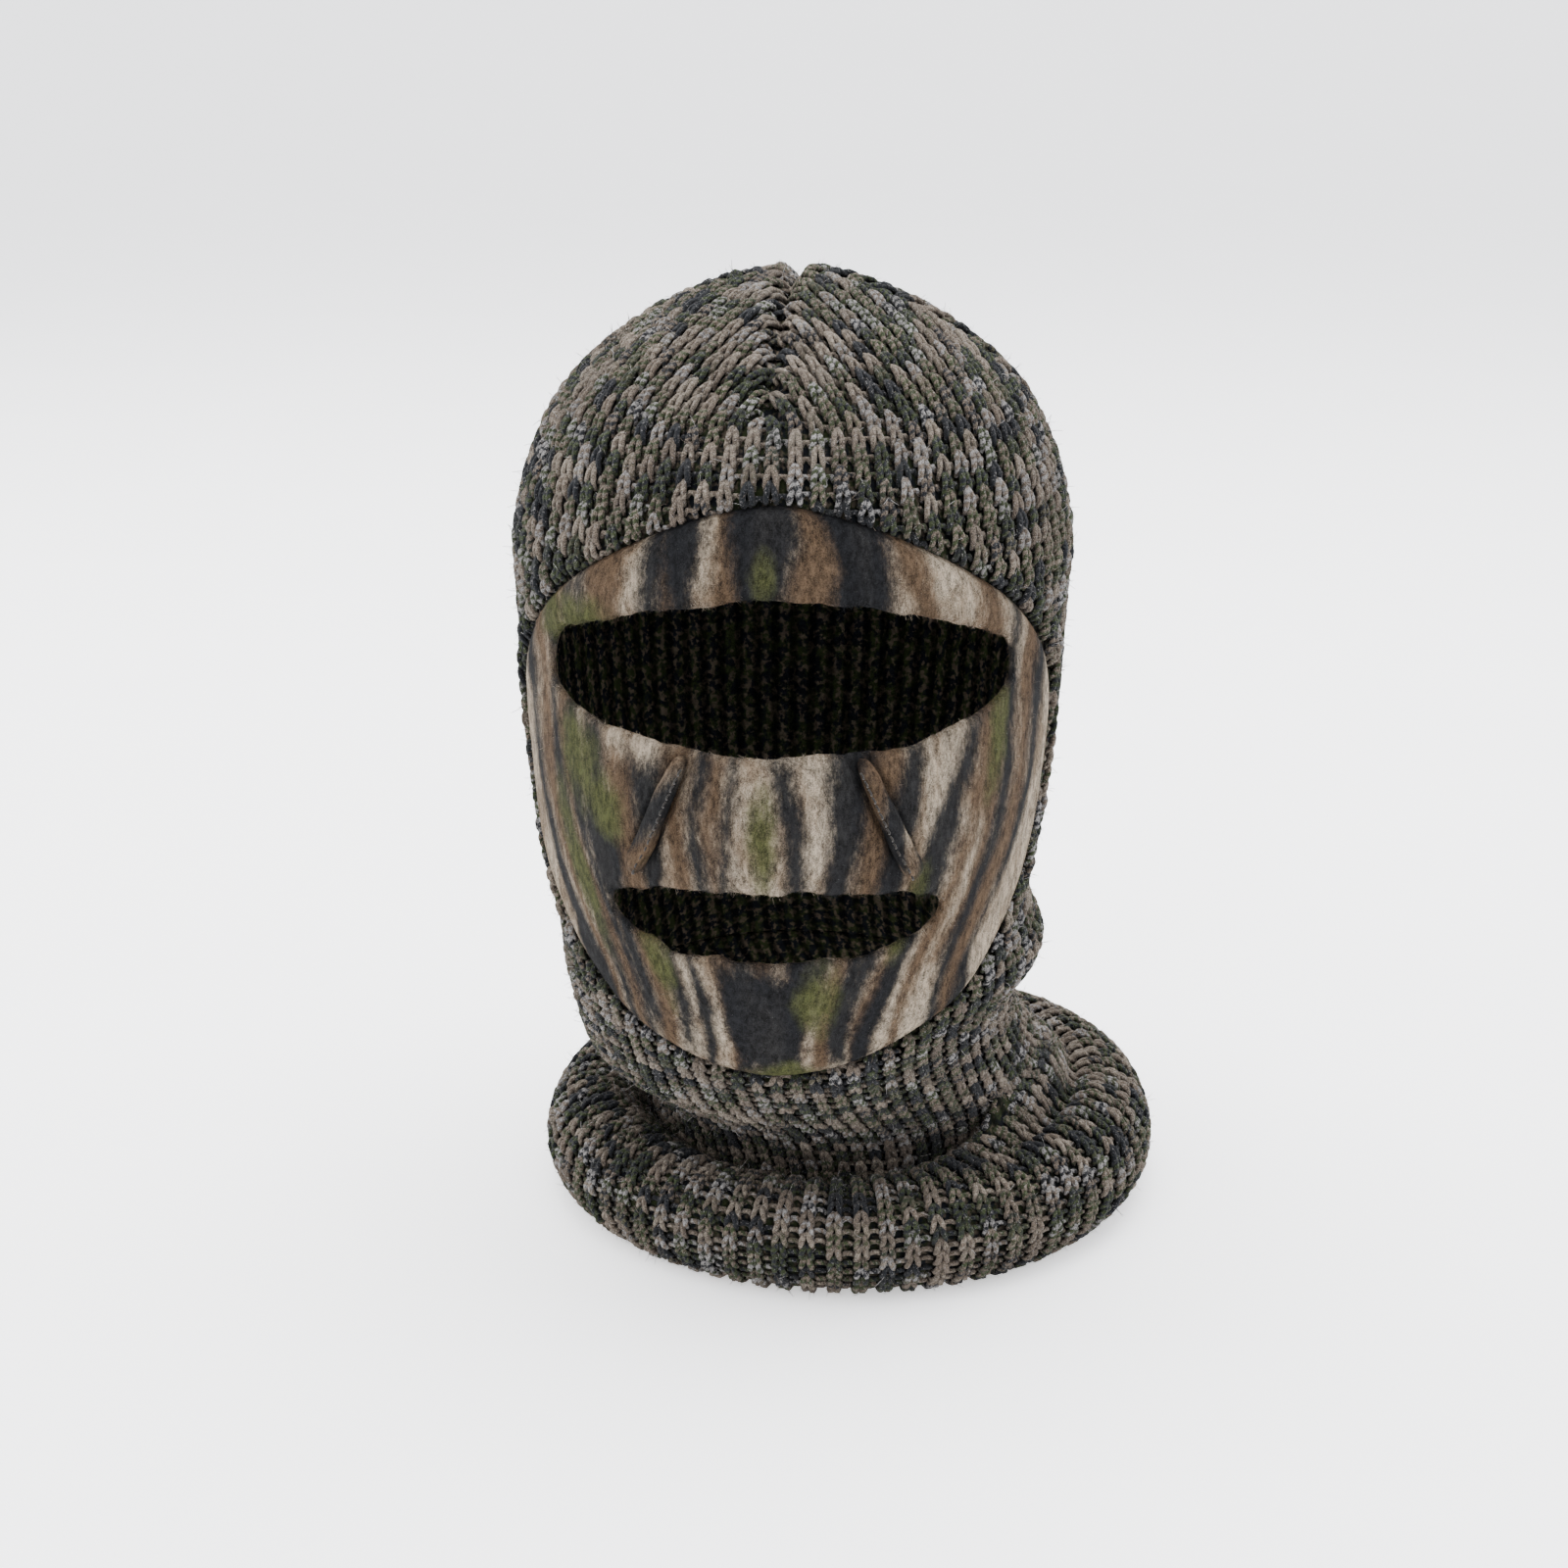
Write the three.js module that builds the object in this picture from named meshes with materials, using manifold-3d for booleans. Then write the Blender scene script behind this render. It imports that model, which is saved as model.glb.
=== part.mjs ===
// Knitted cold-weather face mask with a fleece face panel, standing on its rolled hem.
// Millimetres. +Z is up, the face looks along -Y, and the wearer's left side is +X.
// Every soft piece is a warp of one head form: a place is a turn about the head (degrees from the
// middle of the face), a height, and an offset along the form's normal (0 is the knit's outer face).
import * as THREE from 'three';
import { mergeVertices } from 'three/addons/utils/BufferGeometryUtils.js';
import Module from 'manifold-3d';

const wasm = await Module();
wasm.setup();

// ---- Driving sizes ----
const headHeight = 222;      // from the chin seam up to the crown
const headWidth = 167;       // at the temples, over the knit
const headDepth = 206;       // brow to back of head, over the knit
const neckHeight = 74;       // the chin seam's height above the table
const neckWidth = 137;
const neckDepth = 159;
const hemWidth = 198;        // over the rolled hem
const hemDepth = 208;
const hemThickness = 34;     // the roll's height when it lies on the table
const knitWall = 4;
const fleeceWall = 2.4;
const eyeRise = 30;          // the eye opening, above and below its corners
const eyeDrop = 12;
const eyeReach = 55;         // half of its angle about the head
const mouthRise = 13;
const mouthDrop = 13;
const mouthReach = 39;
const faceReach = 76;        // half of the face panel's angle about the head
const noseProud = 8;
const seamWidth = 6;
const seamThickness = 2.2;
const crownSeamWidth = 4;
const crownSeamDepth = 3;
const foldWidth = 5.4;       // the stitched fold of a nose dart
const foldProud = 3.2;
const threadThickness = 0.9;

// ---- Clearances ----
const cutGap = 0.5;          // panel edge to the knit's cut edge, and tube to hood
const layGap = 0.7;          // a piece lying on a faceted curved face
const hemGap = 2;            // neck tube to the roll around it

// ---- Places ----
const hemSway = 19;          // the hem lies off the head's axis, to the wearer's left and back
const hemBack = 30;
const neckFoot = 3;          // the tube turns into the roll just above the table
const tubeTop = neckHeight - 8;
const chinBandTop = neckHeight + 0.16 * headHeight;
const panelSunk = 1;         // the fleece lies this far below the knit's outer face
const tipPower = 2.2;        // roundness of an outline's two side tips
const steps = 40;            // facets once round the head, and once round each outline

const toRadians = Math.PI / 180;

/** Height of a share of the head, counted from the chin seam. */
function onHead(share) {
  return neckHeight + share * headHeight;
}

/** One level of the head form, from shares of the head's height, half width and depth. */
function headLevel(share, width, front, back) {
  return {
    height: onHead(share),
    sway: 2.5,
    halfWidth: width * headWidth / 2,
    front: -front * headDepth,
    back: back * headDepth,
  };
}

const rollRadius = hemThickness / 1.9;     // the roll is a round flattened by a tenth underneath
const footHalfWidth = hemWidth / 2 - 2 * rollRadius - hemGap;
const footHalfDepth = hemDepth / 2 - 2 * rollRadius - hemGap;

const levels = [
  {
    height: neckFoot,
    sway: hemSway,
    halfWidth: footHalfWidth,
    front: hemBack - footHalfDepth,
    back: hemBack + footHalfDepth,
  },
  {
    height: hemThickness + 1,
    sway: hemSway * 0.8,
    halfWidth: footHalfWidth + 1,
    front: hemBack - footHalfDepth - 2,
    back: hemBack + footHalfDepth - 4,
  },
  { height: neckHeight * 0.74, sway: 6, halfWidth: neckWidth / 2, front: -58, back: neckDepth - 72 },
  { height: neckHeight, sway: 3, halfWidth: neckWidth / 2 + 0.5, front: -75, back: neckDepth - 77 },
  headLevel(0.072, 0.844, 0.408, 0.388),
  headLevel(0.126, 0.85, 0.437, 0.388),
  headLevel(0.252, 0.905, 0.475, 0.408),
  headLevel(0.387, 0.95, 0.492, 0.451),
  headLevel(0.486, 0.975, 0.483, 0.485),
  headLevel(0.568, 0.987, 0.47, 0.51),
  headLevel(0.667, 1, 0.456, 0.515),
  headLevel(0.775, 0.927, 0.417, 0.485),
  headLevel(0.86, 0.796, 0.345, 0.417),
  headLevel(0.928, 0.57, 0.245, 0.322),
  headLevel(0.968, 0.37, 0.155, 0.235),
  headLevel(0.992, 0.18, 0.06, 0.138),
  headLevel(1, 0, -0.037, 0.037),
];

// Where the soft surface stands out from the plain form.
const swells = [
  { turn: 0, height: onHead(0.38), turnSpread: 17, heightSpread: 26, reach: noseProud },
  { turn: 96, height: onHead(0.095), turnSpread: 42, heightSpread: 11, reach: 8 },
  { turn: 92, height: neckHeight * 0.62, turnSpread: 46, heightSpread: 12, reach: 7 },
];

const widthCurve = new THREE.SplineCurve(levels.map((l) => new THREE.Vector2(l.halfWidth, l.height)));
const depthCurve = new THREE.SplineCurve(levels.map((l) => new THREE.Vector2(l.front, l.back)));
const swayCurve = new THREE.SplineCurve(levels.map((l) => new THREE.Vector2(l.sway, 0)));

/** A point of the plain form; rise runs from 0 at the neck's foot to 1 at the crown. */
function plainPoint(turn, rise) {
  const side = widthCurve.getPoint(rise);
  const depth = depthCurve.getPoint(rise);
  const sway = swayCurve.getPoint(rise).x;
  const angle = turn * toRadians;
  return new THREE.Vector3(
    sway + side.x * Math.sin(angle),
    (depth.x + depth.y) / 2 - (depth.y - depth.x) / 2 * Math.cos(angle),
    side.y,
  );
}

/** The rise at which the form reaches a height. */
function riseAt(height) {
  let low = 0;
  let high = 1;
  for (let i = 0; i < 40; i += 1) {
    const middle = (low + high) / 2;
    if (widthCurve.getPoint(middle).y < height) low = middle;
    else high = middle;
  }
  return (low + high) / 2;
}

/** The form's outward normal. */
function outward(turn, rise) {
  if (rise > 0.999) return new THREE.Vector3(0, 0, 1);
  const step = 0.004;
  const around = plainPoint(turn + 0.5, rise).sub(plainPoint(turn - 0.5, rise));
  const up = plainPoint(turn, Math.min(1, rise + step)).sub(plainPoint(turn, Math.max(0, rise - step)));
  return around.cross(up).normalize();
}

/** The turn from one direction to another, the shorter way round. */
function turnBetween(from, to) {
  return (to - from + 540) % 360 - 180;
}

/** A point at a turn and rise, moved along the normal by the offset and the local swells. */
function formPoint(turn, rise, offset) {
  const point = plainPoint(turn, rise);
  let out = offset;
  for (const swell of swells) {
    const side = turnBetween(swell.turn, turn) / swell.turnSpread;
    const lift = (point.z - swell.height) / swell.heightSpread;
    out += swell.reach * Math.exp(-side * side - lift * lift);
  }
  return point.addScaledVector(outward(turn, rise), out);
}

// ---- Building blocks ----

/** Closed body from rows of points; each face is a list of three vertex numbers. */
function solid(points, faces) {
  const geometry = new THREE.BufferGeometry();
  geometry.setAttribute('position', new THREE.Float32BufferAttribute(points.flatMap((p) => p.toArray()), 3));
  geometry.setIndex(faces.flat());
  return mergeVertices(geometry, 1e-5);
}

/** Triangles between two neighbouring closed rows. */
function band(faces, lowStart, highStart, count, flip) {
  for (let i = 0; i < count; i += 1) {
    const next = (i + 1) % count;
    const corners = [lowStart + i, lowStart + next, highStart + next, highStart + i];
    const [a, b, c, d] = flip ? corners.reverse() : corners;
    faces.push([a, b, c], [a, c, d]);
  }
}

/** A fan from one vertex to a closed row. */
function fan(faces, tip, rowStart, count, flip) {
  for (let i = 0; i < count; i += 1) {
    const next = (i + 1) % count;
    faces.push(flip ? [tip, rowStart + next, rowStart + i] : [tip, rowStart + i, rowStart + next]);
  }
}

/** Knit shell between two rises; it closes at the crown when it reaches a rise of 1. */
function knitShell(lowRise, highRise, rows) {
  const domed = highRise >= 1;
  const points = [];
  const faces = [];
  const rowCount = domed ? rows : rows + 1;
  for (const offset of [0, -knitWall]) {
    for (let row = 0; row < rowCount; row += 1) {
      const rise = lowRise + (highRise - lowRise) * row / rows;
      for (let i = 0; i < steps; i += 1) points.push(formPoint(360 * i / steps, rise, offset));
    }
  }
  const inside = rowCount * steps;
  for (let row = 0; row + 1 < rowCount; row += 1) {
    band(faces, row * steps, (row + 1) * steps, steps, false);
    band(faces, inside + row * steps, inside + (row + 1) * steps, steps, true);
  }
  band(faces, 0, inside, steps, true);
  const top = (rowCount - 1) * steps;
  if (domed) {
    points.push(formPoint(0, 1, 0), formPoint(0, 1, -knitWall));
    fan(faces, points.length - 2, top, steps, false);
    fan(faces, points.length - 1, inside + top, steps, true);
  } else {
    band(faces, top, inside + top, steps, false);
  }
  return solid(points, faces);
}

/** A place on a closed outline: turn in degrees and height, widened all round by a margin. */
function outlinePlace(outline, angle, share, margin) {
  const upper = Math.sin(angle) >= 0;
  const plainPower = upper ? outline.upperPower : outline.lowerPower;
  const power = 2 / THREE.MathUtils.lerp(plainPower, tipPower, Math.cos(angle) ** 6);
  const across = Math.sign(Math.cos(angle)) * Math.abs(Math.cos(angle)) ** power * outline.reach;
  const along = Math.sign(Math.sin(angle)) * Math.abs(Math.sin(angle)) ** power
    * (upper ? outline.rise : outline.drop);
  const arcPerDegree = (headWidth + headDepth) / 4 * toRadians;
  const length = Math.hypot(across * arcPerDegree, along);
  const scale = share * (length + margin) / length;
  return { turn: across * scale, height: outline.middle + along * scale };
}

/** A slab inside an outline, warped onto the form between two offsets. */
function patch(outline, margin, low, high, rings) {
  const points = [];
  const faces = [];
  for (const offset of [high, low]) {
    points.push(formPoint(0, riseAt(outline.middle), offset));
    for (let ring = 1; ring <= rings; ring += 1) {
      for (let i = 0; i < steps; i += 1) {
        const place = outlinePlace(outline, 2 * Math.PI * i / steps, ring / rings, margin);
        points.push(formPoint(place.turn, riseAt(place.height), offset));
      }
    }
  }
  const inside = 1 + rings * steps;
  fan(faces, 0, 1, steps, false);
  fan(faces, inside, inside + 1, steps, true);
  for (let ring = 0; ring + 1 < rings; ring += 1) {
    const start = 1 + ring * steps;
    band(faces, start, start + steps, steps, true);
    band(faces, inside + start, inside + start + steps, steps, false);
  }
  const rim = 1 + (rings - 1) * steps;
  band(faces, rim, inside + rim, steps, true);
  return solid(points, faces);
}

/** Sections along a path, joined into one closed body; open paths get flat ends. */
function sweep(sections, closed) {
  const count = sections[0].length;
  const points = sections.flat();
  const faces = [];
  const last = closed ? sections.length : sections.length - 1;
  for (let i = 0; i < last; i += 1) {
    band(faces, i * count, ((i + 1) % sections.length) * count, count, false);
  }
  if (!closed) {
    for (const [section, flip] of [[0, true], [sections.length - 1, false]]) {
      const middle = new THREE.Vector3();
      for (const point of sections[section]) middle.addScaledVector(point, 1 / count);
      points.push(middle);
      fan(faces, points.length - 1, section * count, count, flip);
    }
  }
  return solid(points, faces);
}

function toManifold(geometry) {
  return new wasm.Manifold(new wasm.Mesh({
    numProp: 3,
    vertProperties: new Float32Array(geometry.attributes.position.array),
    triVerts: new Uint32Array(geometry.index.array),
  }));
}

function toGeometry(manifold) {
  const mesh = manifold.getMesh();
  const geometry = new THREE.BufferGeometry();
  geometry.setAttribute('position', new THREE.BufferAttribute(new Float32Array(mesh.vertProperties), 3));
  geometry.setIndex(new THREE.BufferAttribute(new Uint32Array(mesh.triVerts), 1));
  return geometry;
}

/** A body less each of the cutters. */
function cut(geometry, cutters) {
  let body = toManifold(geometry);
  for (const cutter of cutters) body = body.subtract(toManifold(cutter));
  return toGeometry(body);
}

// ---- Outlines on the form: superellipses, with rounder tips at the two sides ----
const faceOutline = {
  middle: onHead(0.365),
  reach: faceReach,
  rise: 0.41 * headHeight,
  drop: 0.365 * headHeight,
  upperPower: 1.6,
  lowerPower: 1.7,
};
const eyeOutline = {
  middle: onHead(0.53),
  reach: eyeReach,
  rise: eyeRise,
  drop: eyeDrop,
  upperPower: 1.43,
  lowerPower: 2.7,
};
const mouthOutline = {
  middle: onHead(0.252),
  reach: mouthReach,
  rise: mouthRise,
  drop: mouthDrop,
  upperPower: 1.5,
  lowerPower: 2.6,
};

// ---- Pieces ----
const fleeceOuter = -panelSunk;
const fleeceInner = -panelSunk - fleeceWall;
const wellOutside = 3;       // a cutter runs this far past both faces of a wall

/** A stretch of the knitted hood, open where the face panel is set in. */
function makeHood(low, high, rows) {
  const shell = knitShell(low, high, rows);
  return cut(shell, [patch(faceOutline, cutGap, -knitWall - wellOutside, wellOutside, 9)]);
}

function makeFacePanel() {
  const panel = patch(faceOutline, 0, fleeceInner, fleeceOuter, 10);
  const openings = [eyeOutline, mouthOutline].map(
    (outline) => patch(outline, 0, fleeceInner - wellOutside, fleeceOuter + wellOutside, 6),
  );
  return cut(panel, openings);
}

/** The overlocked allowance behind the join of panel and knit. */
function makeFaceSeam() {
  const top = -knitWall - layGap;
  const sections = [];
  for (let i = 0; i < steps; i += 1) {
    const angle = 2 * Math.PI * i / steps;
    const section = [];
    for (const [side, offset] of [[-1, top], [1, top], [0.6, top - seamThickness], [-0.6, top - seamThickness]]) {
      const place = outlinePlace(faceOutline, angle, 1, side * seamWidth / 2);
      section.push(formPoint(place.turn, riseAt(place.height), offset));
    }
    sections.push(section);
  }
  return sweep(sections, true);
}

/** A crown dart's sewn allowance, inside the crown along one meridian. */
function makeCrownSeam(turn) {
  const top = -knitWall - layGap;
  const lowRise = riseAt(onHead(0.84));
  const highRise = riseAt(onHead(0.985));
  const rows = 10;
  const sections = [];
  for (let row = 0; row <= rows; row += 1) {
    const rise = lowRise + (highRise - lowRise) * row / rows;
    const face = outward(turn, rise);
    const across = plainPoint(turn + 0.5, rise).sub(plainPoint(turn - 0.5, rise)).normalize();
    const middle = formPoint(turn, rise, top);
    const section = [];
    for (const [side, depth] of [[-1, 0], [1, 0], [0.5, 1], [-0.5, 1]]) {
      section.push(middle.clone()
        .addScaledVector(across, side * crownSeamWidth / 2)
        .addScaledVector(face, -depth * crownSeamDepth));
    }
    sections.push(section);
  }
  return sweep(sections, false);
}

/** The line of a nose dart, from the eye opening's lower edge down and outward. */
function noseDartPlace(side, share) {
  return {
    turn: side * (18 + 12.5 * share),
    height: eyeOutline.middle - eyeDrop - 3 - 33 * share,
  };
}

/** A run along a nose dart: sections of a given half width and height, set off to one side. */
function alongNoseDart(side, shift, halfWidth, proud, rows, corners) {
  const sections = [];
  for (let row = 0; row <= rows; row += 1) {
    const share = row / rows;
    const place = noseDartPlace(side, share);
    const ahead = noseDartPlace(side, share + 0.05);
    const base = formPoint(place.turn, riseAt(place.height), fleeceOuter + layGap);
    const along = formPoint(ahead.turn, riseAt(ahead.height), fleeceOuter + layGap).sub(base).normalize();
    const face = outward(place.turn, riseAt(place.height));
    const across = along.clone().cross(face).normalize();
    const taper = Math.min(1, Math.sqrt(1.04 - share ** 6));
    const section = [];
    for (let i = 0; i < corners; i += 1) {
      const angle = -2 * Math.PI * i / corners;
      section.push(base.clone()
        .addScaledVector(across, shift + Math.cos(angle) * halfWidth * taper)
        .addScaledVector(face, (0.5 + 0.5 * Math.sin(angle)) * proud * taper));
    }
    sections.push(section);
  }
  return sweep(sections, false);
}

/** The hem, rolled over into a soft ring that lies on the table on a flat underside. */
function makeHemRoll() {
  const radius = rollRadius;
  const middleHeight = 0.9 * radius;
  const corners = 14;
  const sections = [];
  for (let i = 0; i < steps; i += 1) {
    const angle = 360 * i / steps * toRadians;
    const out = new THREE.Vector3(Math.sin(angle), -Math.cos(angle), 0);
    const centre = new THREE.Vector3(
      hemSway + (hemWidth / 2 - radius) * out.x,
      hemBack + (hemDepth / 2 - radius) * out.y,
      middleHeight,
    );
    const section = [];
    for (let corner = 0; corner < corners; corner += 1) {
      const round = -2 * Math.PI * corner / corners;
      section.push(new THREE.Vector3(
        centre.x + out.x * Math.cos(round) * radius,
        centre.y + out.y * Math.cos(round) * radius,
        Math.max(0, middleHeight + Math.sin(round) * radius),
      ));
    }
    sections.push(section);
  }
  return sweep(sections, true);
}

// ---- Materials ----
function cloth(color, roughness) {
  return new THREE.MeshStandardMaterial({ color, roughness, metalness: 0 });
}
const marledKnit = cloth('#6d665b', 0.95);
const barkFleece = cloth('#71665a', 0.98);
const overlockThread = cloth('#4a463c', 0.9);
const sewingThread = cloth('#34312b', 0.8);

// ---- Assembly ----
const mask = new THREE.Group();

function add(name, geometry, material) {
  const mesh = new THREE.Mesh(geometry, material);
  mesh.name = name;
  mask.add(mesh);
}

add('knit_hood', makeHood(riseAt(chinBandTop + cutGap), 1, 18), marledKnit);
add('chin_band', makeHood(riseAt(tubeTop + cutGap), riseAt(chinBandTop), 4), marledKnit);
add('neck_tube', knitShell(0, riseAt(tubeTop), 7), marledKnit);
add('hem_roll', makeHemRoll(), marledKnit);
add('face_panel', makeFacePanel(), barkFleece);
add('face_seam', makeFaceSeam(), overlockThread);
for (const [name, turn] of [['front', 0], ['left', 90], ['back', 180], ['right', 270]]) {
  add(`crown_seam_${name}`, makeCrownSeam(turn), overlockThread);
}
for (const [name, side] of [['left', 1], ['right', -1]]) {
  add(`nose_dart_${name}`, alongNoseDart(side, 0, foldWidth / 2, foldProud, 9, 10), barkFleece);
  const beside = -(foldWidth / 2 + cutGap + threadThickness / 2);
  add(
    `nose_dart_thread_${name}`,
    alongNoseDart(side, side * beside, threadThickness / 2, threadThickness, 9, 6),
    sewingThread,
  );
}

// The origin is under the middle of the whole mask, on the table.
const box = new THREE.Box3().setFromObject(mask);
for (const mesh of mask.children) {
  mesh.position.set(-(box.min.x + box.max.x) / 2, -(box.min.y + box.max.y) / 2, -box.min.z);
}

export default mask;
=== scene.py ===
"""Knitted cold-weather face mask with a fleece face panel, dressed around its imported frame.

The soft pieces all lie on one head form: a place is a turn about the head (degrees from the middle of the
face), a rise from the neck's foot (0) to the crown (1), and a distance out from the knit's outer face.
"""
import logging
import math
from dataclasses import dataclass, field
from enum import Enum

import bpy
import numpy as np
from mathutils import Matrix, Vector
from mathutils.geometry import delaunay_2d_cdt


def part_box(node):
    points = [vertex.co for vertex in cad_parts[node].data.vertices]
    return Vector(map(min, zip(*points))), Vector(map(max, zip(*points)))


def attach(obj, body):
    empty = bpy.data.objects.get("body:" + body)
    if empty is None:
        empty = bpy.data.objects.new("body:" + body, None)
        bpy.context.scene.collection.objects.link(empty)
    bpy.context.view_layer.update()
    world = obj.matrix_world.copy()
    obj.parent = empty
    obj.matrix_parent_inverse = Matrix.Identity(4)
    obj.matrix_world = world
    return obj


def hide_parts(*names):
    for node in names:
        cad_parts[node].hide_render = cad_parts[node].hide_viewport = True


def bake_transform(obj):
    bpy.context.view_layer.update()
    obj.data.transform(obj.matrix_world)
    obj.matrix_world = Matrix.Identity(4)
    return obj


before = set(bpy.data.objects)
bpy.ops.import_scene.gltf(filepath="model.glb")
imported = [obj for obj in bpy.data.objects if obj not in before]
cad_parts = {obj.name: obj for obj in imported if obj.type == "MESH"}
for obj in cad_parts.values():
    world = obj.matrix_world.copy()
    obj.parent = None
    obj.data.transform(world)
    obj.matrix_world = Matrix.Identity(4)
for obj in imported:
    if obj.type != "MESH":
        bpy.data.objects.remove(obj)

log = logging.getLogger("face_mask")
MM = 0.001
Colour = tuple[float, float, float]
Array = np.ndarray
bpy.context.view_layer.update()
SIDES = ("left", "right")
FACE_REACH = 100  # degrees to each side of the face's middle, beyond which there is no face panel


class Body(Enum):
    """The two bodies of the frame that the pieces move with."""

    HEM = "hem"
    HOOD = "hood"


class Tone(Enum):
    """The fleece's printed tones, as the numbers of their fields in the mesh."""

    CHARCOAL = 0
    BARK = 1
    MOSS = 2


# ------------------------------ helpers


class LatticeNoise:
    """Smooth noise from a seeded lattice, from -1 to 1."""

    SIZE = 32

    def __init__(self, seed: int) -> None:
        """Fill the lattice from a seed."""
        self.values = np.random.default_rng(seed).uniform(-1, 1, (self.SIZE,) * 3)

    def at(self, places: Array) -> Array:
        """Noise at places.

        Args:
            places: points in lattice cells, shape (..., 3).

        Returns:
            One value for each place.
        """
        cell = np.floor(places).astype(int)
        part = places - cell
        part = part * part * (3 - 2 * part)
        total = np.zeros(places.shape[:-1])
        for corner in np.ndindex(2, 2, 2):
            weight = np.prod([part[..., i] if c else 1 - part[..., i] for i, c in enumerate(corner)], axis=0)
            index = [(cell[..., i] + c) % self.SIZE for i, c in enumerate(corner)]
            total += weight * self.values[index[0], index[1], index[2]]
        return total

    def layers(self, places: Array, count: int = 3) -> Array:
        """Noise of several sizes added up, each half the size and strength of the one before.

        Args:
            places: points in the coarsest lattice's cells, shape (..., 3).
            count: how many sizes.

        Returns:
            One value for each place.
        """
        return sum(self.at(places * 2**i + 7.3 * i) / 2**i for i in range(count)) / 1.6


def stack(*parts: Array | float) -> Array:
    """Join coordinates of one shape, or plain numbers, into points."""
    return np.stack(np.broadcast_arrays(*parts), axis=-1).astype(float)


def unit(vectors: Array) -> Array:
    """The vectors at length one."""
    return vectors / np.maximum(np.linalg.norm(vectors, axis=-1, keepdims=True), 1e-12)


def run_length(line: Array) -> Array:
    """How far along a line each of its points lies."""
    return np.concatenate([[0], np.cumsum(np.linalg.norm(np.diff(line, axis=0), axis=1))])


def hump(value: Array, middle: float, spread: float) -> Array:
    """A soft hump of height 1 about a middle value."""
    return np.exp(-(((value - middle) / spread) ** 2))


def hump_round(turn: Array, middle: float, spread: float) -> Array:
    """A soft hump of height 1 about a middle turn, in degrees."""
    return np.exp(-((((turn - middle + 180) % 360 - 180) / spread) ** 2))


def smooth(low: float, high: float, value: Array) -> Array:
    """A soft step from 0 at low to 1 at high.

    Args:
        low: where the step starts.
        high: where it ends.
        value: the values to place on it.

    Returns:
        The step's height at each value.
    """
    share = np.clip((value - low) / (high - low), 0, 1)
    return share * share * (3 - 2 * share)


def blend_points(table: Array, share: Array) -> Array:
    """A smooth curve through the rows of a table.

    Args:
        table: the rows that the curve passes through.
        share: how far along the curve, from 0 to 1.

    Returns:
        A row of values for each share.
    """
    last = len(table) - 1
    place = np.clip(share, 0, 1) * last
    start = np.minimum(place.astype(int), last - 1)
    part = (place - start)[..., None]
    before, here = table[np.maximum(start - 1, 0)], table[start]
    after, beyond = table[start + 1], table[np.minimum(start + 2, last)]
    return 0.5 * (
        2 * here
        + (after - before) * part
        + (2 * before - 5 * here + 4 * after - beyond) * part**2
        + (3 * here - before - 3 * after + beyond) * part**3
    )


# ------------------------------ the form


@dataclass
class Outline:
    """A closed outline on the form: a superellipse with rounder tips at its two sides."""

    middle: float
    reach: float
    rise: float
    drop: float
    upper_power: float
    lower_power: float
    tip_power: float = 2.2
    arc: float = 1.628 * MM

    def places(self, count: int) -> Array:
        """The outline's places: distance round the form from the face's middle, and height.

        Args:
            count: how many places.

        Returns:
            The places in metres, shape (count, 2), counterclockwise from the wearer's left tip.
        """
        angle = np.linspace(0, 2 * np.pi, count, endpoint=False)
        upper = np.sin(angle) >= 0
        plain = np.where(upper, self.upper_power, self.lower_power)
        power = 2 / (plain + (self.tip_power - plain) * np.cos(angle) ** 6)
        across = np.sign(np.cos(angle)) * np.abs(np.cos(angle)) ** power * self.reach * self.arc
        tall = np.where(upper, self.rise, self.drop)
        along = np.sign(np.sin(angle)) * np.abs(np.sin(angle)) ** power * tall
        return stack(across, self.middle + along)

    def spaced(self, gap: float) -> Array:
        """The outline's places, evenly spaced.

        Args:
            gap: about how far apart they lie.

        Returns:
            The places in metres, shape (n, 2).
        """
        fine = self.places(2400)
        closed = np.vstack([fine, fine[:1]])
        along = run_length(closed)
        wanted = np.linspace(0, along[-1], round(along[-1] / gap), endpoint=False)
        return stack(np.interp(wanted, along, closed[:, 0]), np.interp(wanted, along, closed[:, 1]))

    def edge(self, across: Array, height: Array) -> tuple[Array, Array, Array]:
        """How places lie to the outline, seen from its middle.

        Args:
            across: distance round the form from the face's middle.
            height: height above the table.

        Returns:
            The distance out from the middle, the outline's distance that way, and the angle.
        """
        fine = self.places(1440) - [0, self.middle]
        angles = np.unwrap(np.arctan2(fine[:, 1], fine[:, 0]))
        radii = np.linalg.norm(fine, axis=1)
        angle = np.arctan2(height - self.middle, across)
        wrapped = np.where(angle < angles[0], angle + 2 * np.pi, angle)
        radius = np.interp(wrapped, np.append(angles, angles[0] + 2 * np.pi), np.append(radii, radii[0]))
        return np.hypot(across, height - self.middle), radius, angle


@dataclass
class Swell:
    """A soft rise on the form: where it is, how wide, how tall and how proud."""

    turn: float
    height: float
    turn_spread: float
    height_spread: float
    reach: float


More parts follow.
